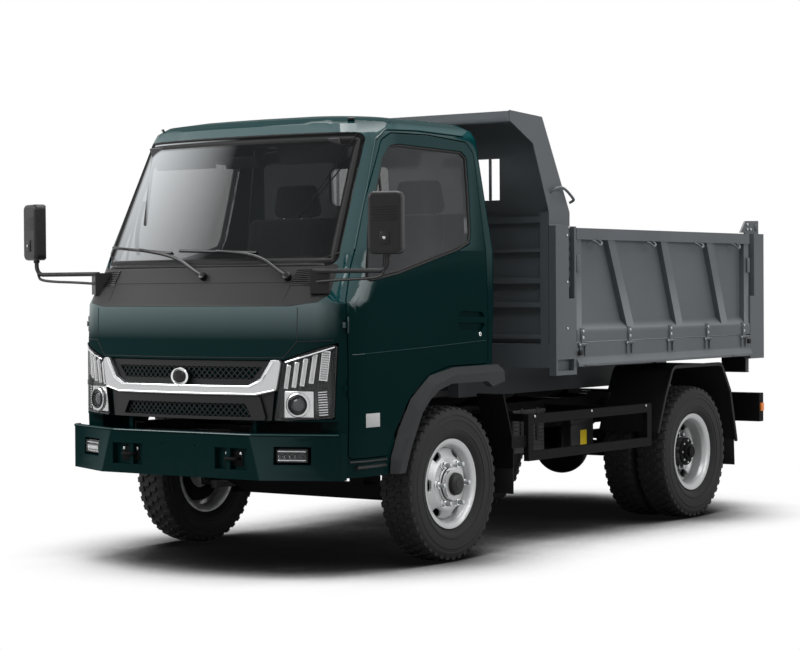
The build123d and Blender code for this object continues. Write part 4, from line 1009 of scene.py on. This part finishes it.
joined(towLoops(), "towLoops", "chassis", "frame_rails")
joined(bothSides(fogCells()), "fogLampCells", "chassis", "fog_lamps")
lip = softLine("front_bumper", [(-850, 682), (-440, 682), (440, 682), (850, 682)], 6, False,
               lift=-1, step=30)
joined([coat(lip, "cabPaint")], "bumperTopLip", "chassis", "front_bumper")
print("front fittings made")


# windscreen seal, wipers, cowl and hood seams

screenSet = {
    "seal": [(742, 1500), (738, 1488), (720, 1484), (-720, 1484), (-738, 1488), (-742, 1500),
             (-696, 2112), (-684, 2128), (-660, 2132), (660, 2132), (684, 2128), (696, 2112)],
    # the black edge inside the glass
    "band": [(716, 1508), (-716, 1508), (-672, 2098), (-650, 2106), (650, 2106), (672, 2098)],
    # pivot and the blade's two ends
    "wipers": [((59, 1431), (-700, 1582), (-200, 1545)), ((538, 1426), (-150, 1556), (330, 1540))],
    # radius and lift of a blade's back, holder and lip
    "blade": [(7.5, 22, "glossBlack"), (4.5, 12, "sealRubber"), (1.8, 7, "sealRubber")],
    "yokes": (0.15, 0.38, 0.62, 0.85),
    "slats": 9,
    # points and step of the lines round the hood
    "hood": [([(-640, 1120), (-640, 1285)], 20), ([(640, 1120), (640, 1285)], 20),
             ([(-640, 1122), (-575, 1046), (575, 1046), (640, 1122)], 25),
             ([(-790, 1128), (-640, 1122)], 15), ([(640, 1122), (790, 1128)], 15)],
}


def wiper(pivot, low, high):
    made = [seated(coat(rod(20, (0, -0.026, 0), (0, 0.004, 0), 24, 0.005), "glossBlack"),
                   "cowl_panel", *pivot)]
    root, rootOut = touchPoint("cowl_panel", *pivot)
    middle = ((low[0] + high[0]) / 2, (low[1] + high[1]) / 2)
    grip, gripOut = touchPoint("cab_glass", *middle)
    knee, kneeOut = touchPoint("cab_glass", pivot[0] * 0.6 + middle[0] * 0.4, 1520)
    arm = tube([root + rootOut * 0.014, root + rootOut * 0.022 + Vector((-0.03, 0, 0.01)),
                knee + kneeOut * 0.040, grip + gripOut * 0.034, grip + gripOut * 0.024], 9)
    made.append(coat(arm, "glossBlack"))
    for radius, lift, material in screenSet["blade"]:
        line = softLine("cab_glass", [low, middle, high], radius, False, lift=lift, step=60)
        made.append(coat(line, material))
    for k in screenSet["yokes"]:
        x, z = low[0] + (high[0] - low[0]) * k, low[1] + (high[1] - low[1]) * k
        yoke = coat(block((40, 12, 11), edge=0.003), "glossBlack")
        made.append(seated(yoke, "cab_glass", x, z, -18))
    return made


def cowlLines():
    seams = [softLine("cowl_panel", [(x, 1308 + abs(x) * 0.02), (x * 1.02, 1470)], 1.6, False,
                      step=25) for x in (-560, 560)]
    seams.append(softLine("cowl_panel", [(-560, 1404), (560, 1404)], 1.8, False, step=30))
    slats = []
    for k in range(screenSet["slats"]):
        for x in (-640, 640):
            slat = coat(block((150, 5, 5), edge=0.001), "glossBlack")
            slats.append(seated(slat, "cowl_panel", x, 1392 + k * 9, -1))
    return coated("sealRubber", seams) + slats


screenSeal = [softLine("cab_glass", screenSet["seal"], 9, lift=4),
              softLine("cab_glass", screenSet["band"], 22, lift=-17)]
joined(coated("sealRubber", screenSeal), "screenSeal", "cab", "cab_glass")
wipers = [part for ends in screenSet["wipers"] for part in wiper(*ends)]
joined(wipers, "screenWipers", "cab", "cowl_panel")
joined(cowlLines(), "cowlSeams", "cab", "cowl_panel")
hood = [softLine("cab_shell", points, 1.8, False, step=step) for points, step in screenSet["hood"]]
joined(coated("sealRubber", hood), "hoodSeams", "cab", "cab_shell")
print("windscreen fittings made")


# doors: window seals, locks, door lines

doorSet = {      # y and z, seen from the left
    "seal": [(-640, 1420), (-625, 1412), (-406, 1444), (-145, 1504), (126, 1566), (226, 1600),
             (251, 1648), (283, 1864), (301, 2034), (262, 2063), (-275, 2075), (-348, 2066),
             (-408, 2006), (-494, 1836), (-584, 1665)],
    "lowSeal": [(-640, 1424), (-406, 1456), (-145, 1516), (126, 1578), (228, 1608)],
    "divider": [(-520, 1436), (-440, 1960)],
    "crease": [(-770, 1058), (-200, 1078), (350, 1101)],
    "lock": (296, 1135),
    "dripRail": [(-640, 1600), (-560, 1805), (-424, 2100), (-360, 2150), (-100, 2158),
                 (300, 2150)],
}


def doorTrim():
    glass = "door_glass_left"
    seal = softLine(glass, doorSet["seal"], 8, True, "left", lift=4)
    lowSeal = softLine(glass, doorSet["lowSeal"], 5, False, "left", lift=6)
    divider = softLine(glass, doorSet["divider"], 7, False, "left", lift=2)
    crease = softLine("door_left", doorSet["crease"], 2.2, False, "left", lift=-0.6)
    lock = rod(11, at(852, *doorSet["lock"]), at(862, *doorSet["lock"]), 24, 0.001)
    keyhole = block((3, 3, 12), at(862.5, *doorSet["lock"]), edge=0.0005)
    label = slab("plainLabel", (2, 112, 66), (860.8, -638, 742), 0.0008)
    black = coated("sealRubber", (seal, lowSeal, divider, keyhole))
    return [*black, coat(lock, "chrome"), coat(crease, "cabPaint"), label]


def roofTrim():
    rail = softLine("cab_shell", doorSet["dripRail"], 5, False, "left", lift=1, step=30)
    clip = coat(block((34, 26, 9), edge=0.003), "glossBlack")
    return [coat(rail, "cabPaint"), seated(clip, "cab_shell", 611, 2196, -3)]


def sideStep():
    parts = [slab("blackPlastic", (96, 236, 14), (812, -640, 520), 0.004)]
    for k in range(11):
        parts.append(slab("blackPlastic", (84, 8, 5), (812, -640 + (k - 5) * 20, 529), 0.0015))
    skirt = softLine("cab_shell", [(-786, 548), (-520, 548)], 5, False, "left", lift=2)
    return [*parts, coat(skirt, "blackPlastic")]


joinedPair(doorTrim(), "doorTrim", "door", "door")
joined(bothSides(roofTrim()), "roofDripRails", "cab", "cab_shell")
joined(bothSides(sideStep()), "sideSteps", "cab", "arch_flares")


# mirrors

mirrorSet = {
    "place": (1130, -893, 1675), "turn": 23,
    "brace": [(712, -880, 1405), (800, -884, 1412), (1085, -884, 1420), (1118, -884, 1448),
              (1120, -884, 1530)],
}


def mirrorDetails():
    turn = (Matrix.Translation(at(*mirrorSet["place"]))
            @ Matrix.Rotation(math.radians(mirrorSet["turn"]), 4, "Z"))
    glassPane = coat(block((140, 3, 262), (0, 0.0315, 0), edge=0.004), "mirrorFace")
    dark = [block((150, 8, 6), (0, 0.030, z)) for z in (-0.136, 0.136)]
    dark += [block((6, 8, 276), (x, 0.030, 0)) for x in (-0.074, 0.074)]
    dark += [block((120, 5, 4), (0, -0.0315, 0.075 - k * 0.012), edge=0.0015) for k in range(6)]
    dark.append(block((46, 10, 60), (0, -0.031, -0.070), edge=0.004))
    screw = bolt(8, (0, -0.034, -0.070), (0, -0.042, -0.070), 0.0008)
    parts = [glassPane, *coated("blackPlastic", dark), screw]
    for part in parts:
        part.data.transform(turn)
    sleeve = rod(16, at(1130, -878, 1516), at(1130, -880, 1545), 20, 0.003)
    brace = tube([at(*point) for point in mirrorSet["brace"]], 7)
    return [*parts, *coated("blackPlastic", (sleeve, brace))]


joined(bothSides(mirrorDetails()), "mirrorDetails", "cab", "mirrors")
print("cab trim made")


# seats: padded cushions from a short cloth simulation

seatSet = {
    "voxel": 0.012, "pressure": 4.0, "frames": 20, "cap": 0.012,
    "sideSeam": 0.62, "sideGroove": (0.014, 0.007),      # reach and depth
    "crossSeams": (-0.11, 0.03, 0.16), "crossGroove": (0.012, 0.005),
    "cushions": {      # size, place, lean and corner
        "driverBase": ((470, 500, 130), (400, -60, 1110), 0, 40),
        "driverBack": ((470, 90, 600), (400, 272, 1470), -12, 40),
        "driverHead": ((240, 80, 180), (400, 392, 1850), -12, 35),
        "benchBase": ((510, 500, 130), (-420, -60, 1110), 0, 40),
        "benchBack": ((510, 90, 600), (-420, 272, 1470), -12, 40),
        "benchHead": ((240, 80, 180), (-420, 392, 1850), -12, 35),
    },
}


def puffed(piece):
    rest = [v.co.copy() for v in piece.data.vertices]
    cloth = piece.modifiers.new("fill", "CLOTH")
    cloth.settings.use_pressure = True
    cloth.settings.uniform_pressure_force = seatSet["pressure"]
    cloth.settings.effector_weights.gravity = 0
    scene = bpy.context.scene
    for frameNumber in range(1, seatSet["frames"] + 1):
        scene.frame_set(frameNumber)
    applyAll(piece)
    scene.frame_set(1)
    for vertex, start in zip(piece.data.vertices, rest):
        shift = vertex.co - start
        if shift.length > seatSet["cap"]:
            vertex.co = start + shift.normalized() * seatSet["cap"]


def grooved(piece, size):
    sideReach, sideDepth = seatSet["sideGroove"]
    crossReach, crossDepth = seatSet["crossGroove"]
    seam = size[0] / 2000 * seatSet["sideSeam"]
    for vertex in piece.data.vertices:
        x = vertex.co.x
        along = vertex.co.z if size[2] > size[1] else vertex.co.y
        for place in (-seam, seam):
            near = max(0.0, 1 - abs(x - place) / sideReach)
            vertex.co -= vertex.normal * sideDepth * near * near
        if size[0] > 300 and abs(x) < seam:      # the headrests have no cross seams
            for place in seatSet["crossSeams"]:
                near = max(0.0, 1 - abs(along - place) / crossReach)
                vertex.co -= vertex.normal * crossDepth * near * near


def cushion(name, size, place, lean, corner):
    piece = block(size, edge=corner / 1000, segments=4)
    openMesh(piece)
    bpy.ops.mesh.subdivide(number_cuts=3)
    closeMesh()
    piece.data.remesh_voxel_size = seatSet["voxel"]
    bpy.ops.object.voxel_remesh()
    puffed(piece)
    grooved(piece, size)
    detail = piece.modifiers.new("detail", "SUBSURF")
    detail.levels = detail.render_levels = 1
    applyAll(piece)
    piece.data.transform(Matrix.Translation(at(*place))
                         @ Matrix.Rotation(math.radians(lean), 4, "X"))
    coat(piece, "seatCloth")
    joined([piece], name, "cab", "seats", 180)
    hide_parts("seats")


def seatFrames():
    parts = []
    for x, width in ((400, 460), (-420, 500)):
        parts.append(slab("trimPlastic", (width, 470, 34), (x, -60, 1030), 0.008))
        for dx in (-60, 60):
            parts.append(coat(rod(6, at(x + dx, 372, 1700), at(x + dx, 388, 1800), 12), "chrome"))
        for dx in (-width / 2 - 8, width / 2 + 8):
            knob = rod(36, at(x + dx - 6, 170, 1075), at(x + dx + 6, 170, 1075), 28, 0.004)
            parts.append(coat(knob, "trimPlastic"))
    return parts


def cabInside():
    parts = [slab("blackPlastic", (210, 18, 62), (0, -560, 2010), 0.006, (12, 0, 0)),
             coat(tube([at(0, -560, 2030), at(0, -555, 2075), at(0, -540, 2110)], 7),
                  "blackPlastic")]
    for x in (-430, 400):      # sun visors
        parts.append(slab("seatCloth", (400, 14, 130), (x, -520, 2050), 0.006, (28, 0, 0)))
    grab = tube([at(-705, -560, 1560), at(-690, -600, 1600), at(-690, -560, 1780),
                 at(-700, -520, 1830)], 11)
    parts.append(coat(grab, "trimPlastic"))
    for x in (-280, -120, 60, 640, -640):      # air vents
        for k in range(4):
            parts.append(slab("glossBlack", (110, 10, 5), (x, -560 - k * 10, 1396 + k * 12),
                              0.001, (40, 0, 0)))
    for x in (340, 460):      # dials
        parts.append(coat(rod(48, at(x, -600, 1436), at(x, -560, 1462), 32, 0.004), "glossBlack"))
    lever = tube([at(60, -200, 1010), at(60, -230, 1150), at(66, -250, 1260)], 8)
    knob = rod(24, at(66, -248, 1250), at(66, -256, 1300), 20, 0.008)
    return parts + coated("blackPlastic", (lever, knob))


for cushionName, cushionLook in seatSet["cushions"].items():
    cushion(cushionName, *cushionLook)
joined(seatFrames(), "seatFrames", "cab", "seats")
joined(cabInside(), "cabInsideFittings", "cab", "dashboard")
print("cab inside made")


# bed: rope hooks, hinge straps, knobs, chains, welds, grab rods

bedSet = {
    "hooks": [1331, 1938, 2520, 2995], "hookWire": 6,
    # x, y from the hook's middle, and z
    "hook": [(943, -34, 1622), (958, -30, 1620), (967, -24, 1606), (967, 0, 1598),
             (967, 24, 1606), (958, 30, 1620), (943, 34, 1622)],
    "hinges": [1171, 1686, 2165, 2624, 3097],
    "knobs": [(1132, 1016), (3152, 1032)],
    "chain": {"y": 1062, "x": 922, "top": 1685, "low": 1316, "wire": 4.2, "pitch": 27,
              "width": 9},
    "grab": [(905, 920, 1880), (924, 926, 1892), (932, 940, 1902), (932, 1010, 1908),
             (932, 1110, 1850), (930, 1118, 1838), (905, 1112, 1828)],
    # radius, x from and to, and the places in y and z of the bolt heads
    "bolts": [(7, 945, 951, [(1016, 1150), (1016, 1400), (1016, 1650)]),
              (9, 912, 922, [(3215, 1722), (3260, 1722), (3215, 1752)])],
}


def gateFittings():
    parts = []
    for y in bedSet["hooks"]:
        hook = tube([at(x, y + dy, z) for x, dy, z in bedSet["hook"]], bedSet["hookWire"])
        parts.append(coat(hook, "bedPaint"))
        for dy in (-34, 34):
            parts.append(coat(rod(9, at(944, y + dy, 1622), at(948, y + dy, 1622), 16), "bedPaint"))
    for y in bedSet["hinges"]:
        parts.append(slab("bedPaint", (6, 38, 76), (947, y, 1113), 0.0015))
        for z in (1098, 1132):
            parts.append(bolt(8.5, at(949, y, z), at(956, y, z)))
    for y in (1136, 3172):
        parts.append(slab("bedPaint", (5, 34, 90), (944, y, 1500)))
    return parts


def chainLink(chain):
    long = chain["pitch"] / 2 + chain["wire"]
    points = []
    for k in range(12):
        angle = 2 * math.pi * k / 12
        points.append(Vector((0, math.sin(angle) * chain["width"] / 1000,
                              math.cos(angle) * long / 1000)))
    return tube(points, chain["wire"], True, 2)


def hungChain():
    chain = bedSet["chain"]
    link = chainLink(chain)
    parts = []
    for k in range(int((chain["top"] - chain["low"]) / chain["pitch"])):
        spot = at(chain["x"], chain["y"], chain["top"] - k * chain["pitch"])
        turn = Matrix.Rotation(math.radians(90 * (k % 2) + 20), 4, "Z")
        parts.append(coat(twin(link, Matrix.Translation(spot) @ turn), "castIron"))
    bpy.data.objects.remove(link)
    pinHeight = chain["top"] + 8
    pin = rod(6, at(906, chain["y"], pinHeight), at(934, chain["y"], pinHeight), 12)
    return [*parts, coat(pin, "zinc")]


def weldBeads():      # along the top of the post and down its side
    bead = coat(rod(4.5, (0, 0, -0.004), (0, 0, 0.004), 8, 0.0015), "bedPaint")
    laid = Matrix.Rotation(math.radians(90), 4, "X")
    parts = [twin(bead, Matrix.Translation(at(903.5, 904 + k * 4.0, 1703)) @ laid)
             for k in range(52)]
    parts += [twin(bead, Matrix.Translation(at(899.5, 1113, 1080 + k * 10))) for k in range(60)]
    bpy.data.objects.remove(bead)
    return parts


def bedFittings():
    parts = []
    for y, z in bedSet["knobs"]:
        parts.append(coat(rod(15, at(944, y, z), at(968, y, z), 24, 0.005), "flapRubber"))
        parts.append(coat(rod(21, at(944, y, z), at(948, y, z), 24, 0.001), "bedPaint"))
    for y in bedSet["hinges"]:
        for end in (-28, 28):
            parts.append(slab("bedPaint", (6, 20, 56), (947, y + end, 1028), 0.0015))
        parts.append(bolt(8, at(954, y - 46, 1060), at(954, y - 38, 1060)))
    parts += hungChain()
    parts.append(coat(tube([at(*point) for point in bedSet["grab"]], 7.5), "bedPaint"))
    parts += weldBeads()
    for radius, start, end, places in bedSet["bolts"]:
        parts += [bolt(radius, at(start, *place), at(end, *place)) for place in places]
    parts.append(coat(rod(22, at(912, 3342, 1735), at(920, 3342, 1735), 28, 0.002), "bedPaint"))
    parts += [slab("bedPaint", (20, 110, 8), (955, y, 948)) for y in (1230, 2980)]
    return bothSides(parts)


def guardBeam():
    parts = [slab("bedPaint", (1786, 44, 46), (0, 541, 2256), 0.004, (-3, 0, 0))]
    for k in range(5):
        place = (-760 + k * 380, 680, 2252)
        parts.append(slab("bedPaint", (30, 300, 16), place, 0.003, (-3, 0, 0)))
    for k in range(9):      # bars of the headboard's window
        parts.append(slab("bedPaint", (14, 14, 224), (-520 + k * 130, 922, 1958), 0.003))
    return parts


joinedPair(gateFittings(), "gateFittings", "gate", "side_gate")
joined(bedFittings(), "bedFittings", "bed", "bed_posts")
joined(guardBeam(), "cabGuardBeam", "bed", "headboard")
print("bed fittings made")


# chassis fittings

chassisSet = {
    "springBolts": (305, 373), "springWire": 7,      # the two legs' x
    "tankBands": (1010, 1280, 1540),
    "box": (575, 1735), "boxSize": (70, 250, 196), "labelSize": (2, 70, 84),
}


def springClamp(side, y):
    inner, outer = [x * side for x in chassisSet["springBolts"]]
    points = [at(inner, y, z) for z in (360, 505, 516)] + [at(outer, y, z) for z in (516, 505, 360)]
    return coat(tube(points, chassisSet["springWire"]), "framePaint")


def controlBox():
    x, y = chassisSet["box"]
    parts = [slab("blackPlastic", chassisSet["boxSize"], (x, y, 522), 0.010, segments=3),
             slab("blackPlastic", (78, 258, 10), (x, y, 588), 0.003),
             slab("yellowLabel", chassisSet["labelSize"], (x + 36, y + 6, 512), 0.0008)]
    for bracket in (1660, 1810):
        parts.append(slab("framePaint", (232, 30, 10), (480, bracket, 624)))
        parts.append(bolt(9, at(x, bracket, 629), at(x, bracket, 637)))
    return parts


def chassisFittings():
    parts = []
    for side in (-1, 1):
        parts.append(slab("flapRubber", (158, 6, 150), (side * 798, 578, 366), 0.001))
        parts.append(slab("framePaint", (150, 12, 22), (side * 798, 580, 436)))
        parts.append(slab("flapRubber", (360, 6, 160), (side * 700, 3100, 350), 0.001, (3, 0, 0)))
        parts += [springClamp(side, y + dy) for y in (0, wheelBase) for dy in (-52, 52)]
        parts.append(slab("amberLens", (14, 40, 52), (side * 904, 3436, 612), 0.004))
        for y in (760, 1350, 1960):
            parts.append(bolt(8, at(side * 893, y, 690), at(side * 900, y, 690)))
    for y in chassisSet["tankBands"]:
        parts.append(slab("castIron", (266, 34, 236), (-505.5, y, 590), 0.040, segments=5))
    filler = rod(38, at(-600, 1100, 700), at(-615, 1100, 728), 28, 0.004)
    return [*parts, coat(filler, "blackPlastic"), *controlBox()]


def batteryFittings():
    parts = [slab("blackPlastic", (268, 338, 26), (505.3, 1120, 690), 0.006)]
    parts += [slab("flapRubber", (8, 26, 180), (637, y, 620)) for y in (1040, 1200)]
    parts += [slab("blackPlastic", (5, 290, 6), (637, 1120, 500 + k * 22), 0.0015)
              for k in range(7)]
    return parts


def tailFittings():
    parts = []
    for side in (-1, 1):
        for x, width, material in ((700, 52, "redLens"), (762, 60, "amberLens"),
                                   (822, 48, "reverseLens")):
            parts.append(slab(material, (width, 8, 84), (side * x, 3371, 881), 0.003))
            for k in range(6):
                parts.append(slab(material, (width - 8, 3, 4), (side * x, 3376, 850 + k * 12),
                                  0.0008))
        for z in (834, 928):
            parts.append(slab("blackPlastic", (176, 46, 6), (side * 760, 3351, z)))
    return parts


joined(chassisFittings(), "chassisFittings", "chassis", "frame_rails")
joined(batteryFittings(), "batteryBoxDetails", "chassis", "battery_box")
joined(tailFittings(), "tailLampLenses", "bed", "tail_lamps")
print("chassis fittings made")


# floor, background and light

studio = {
    "floorSize": 60,
    "floorColour": (0.45, 0.45, 0.45),
    "worldStrength": 0.24,
    "shadowReach": 1.25,
    # how open the floor is, and how pale it shows, with the truck's shadow painted in
    "shadowRamp": [(0.28, 0.004), (0.48, 0.022), (0.62, 0.22), (0.74, 0.72), (0.85, 1)],
    "softBoxes": {      # place, target, size and power
        "topBox": ((0.5, -0.5, 6.5), (0, 0, 1), (5.0, 7.0), 520),
        "frontBox": ((-5.0, -7.6, 5.4), (0, -1.5, 1.2), (9.0, 3.6), 620),
        "sideBox": ((8.0, 1.5, 3.6), (0, 0.8, 1.0), (6.0, 3.0), 230),
    },
}


def makeFloor():
    bpy.ops.mesh.primitive_plane_add(size=studio["floorSize"], location=(0, 0, 0))
    floor = bpy.context.object
    floor.name = "studioFloor"
    shader = Shader("studioFloor")
    shader.put("Base Color", studio["floorColour"])
    shader.put("Roughness", 0.9)
    # the floor shows an emission, and the truck's shadow on it is painted from how open the floor
    # is
    openness = shader.node("AmbientOcclusion", {"samples": 32},
                           {"Distance": studio["shadowReach"]}, output=1)
    paintedGlow = shader.node("ValToRGB", {"stops": studio["shadowRamp"]}, {"Fac": openness})
    light = shader.node("Emission", {}, {"Color": paintedGlow, "Strength": 1.0})
    path = shader.node("LightPath")
    seen = path.most(shader.sister(path, "Is Glossy Ray"))
    seen = seen.most(shader.sister(path, "Is Transmission Ray"))
    plain = Link(shader, shader.surface.outputs[0])
    both = shader.node("MixShader", {}, {0: seen, 1: plain, 2: light})
    shader.tree.links.new(both.socket, shader.out.inputs[0])
    floor.data.materials.append(shader.material)


def makeWorld():      # white where it is seen, dim where it lights
    world = bpy.data.worlds.new("studioWorld")
    bpy.context.scene.world = world
    world.use_nodes = True
    tree = world.node_tree
    back = tree.nodes["Background"]
    path = tree.nodes.new("ShaderNodeLightPath")
    seen = path.outputs["Is Camera Ray"]
    for ray in ("Is Transmission Ray", "Is Glossy Ray"):
        most = tree.nodes.new("ShaderNodeMath")
        most.operation = "MAXIMUM"
        tree.links.new(seen, most.inputs[0])
        tree.links.new(path.outputs[ray], most.inputs[1])
        seen = most.outputs[0]
    strength = tree.nodes.new("ShaderNodeMapRange")
    strength.inputs[3].default_value = studio["worldStrength"]
    strength.inputs[4].default_value = 1.0
    tree.links.new(seen, strength.inputs[0])
    tree.links.new(strength.outputs[0], back.inputs["Strength"])
    back.inputs["Color"].default_value = (1, 1, 1, 1)


def softBox(name, place, target, size, power):
    light = bpy.data.lights.new(name, "AREA")
    light.shape = "RECTANGLE"
    light.size, light.size_y = size
    light.energy = power
    lamp = bpy.data.objects.new(name, light)
    bpy.context.scene.collection.objects.link(lamp)
    lamp.location = place
    lamp.rotation_euler = (Vector(target) - Vector(place)).to_track_quat("-Z", "Y").to_euler()


makeFloor()
makeWorld()
for boxName, boxLook in studio["softBoxes"].items():
    softBox(boxName, *boxLook)
print("studio ready")
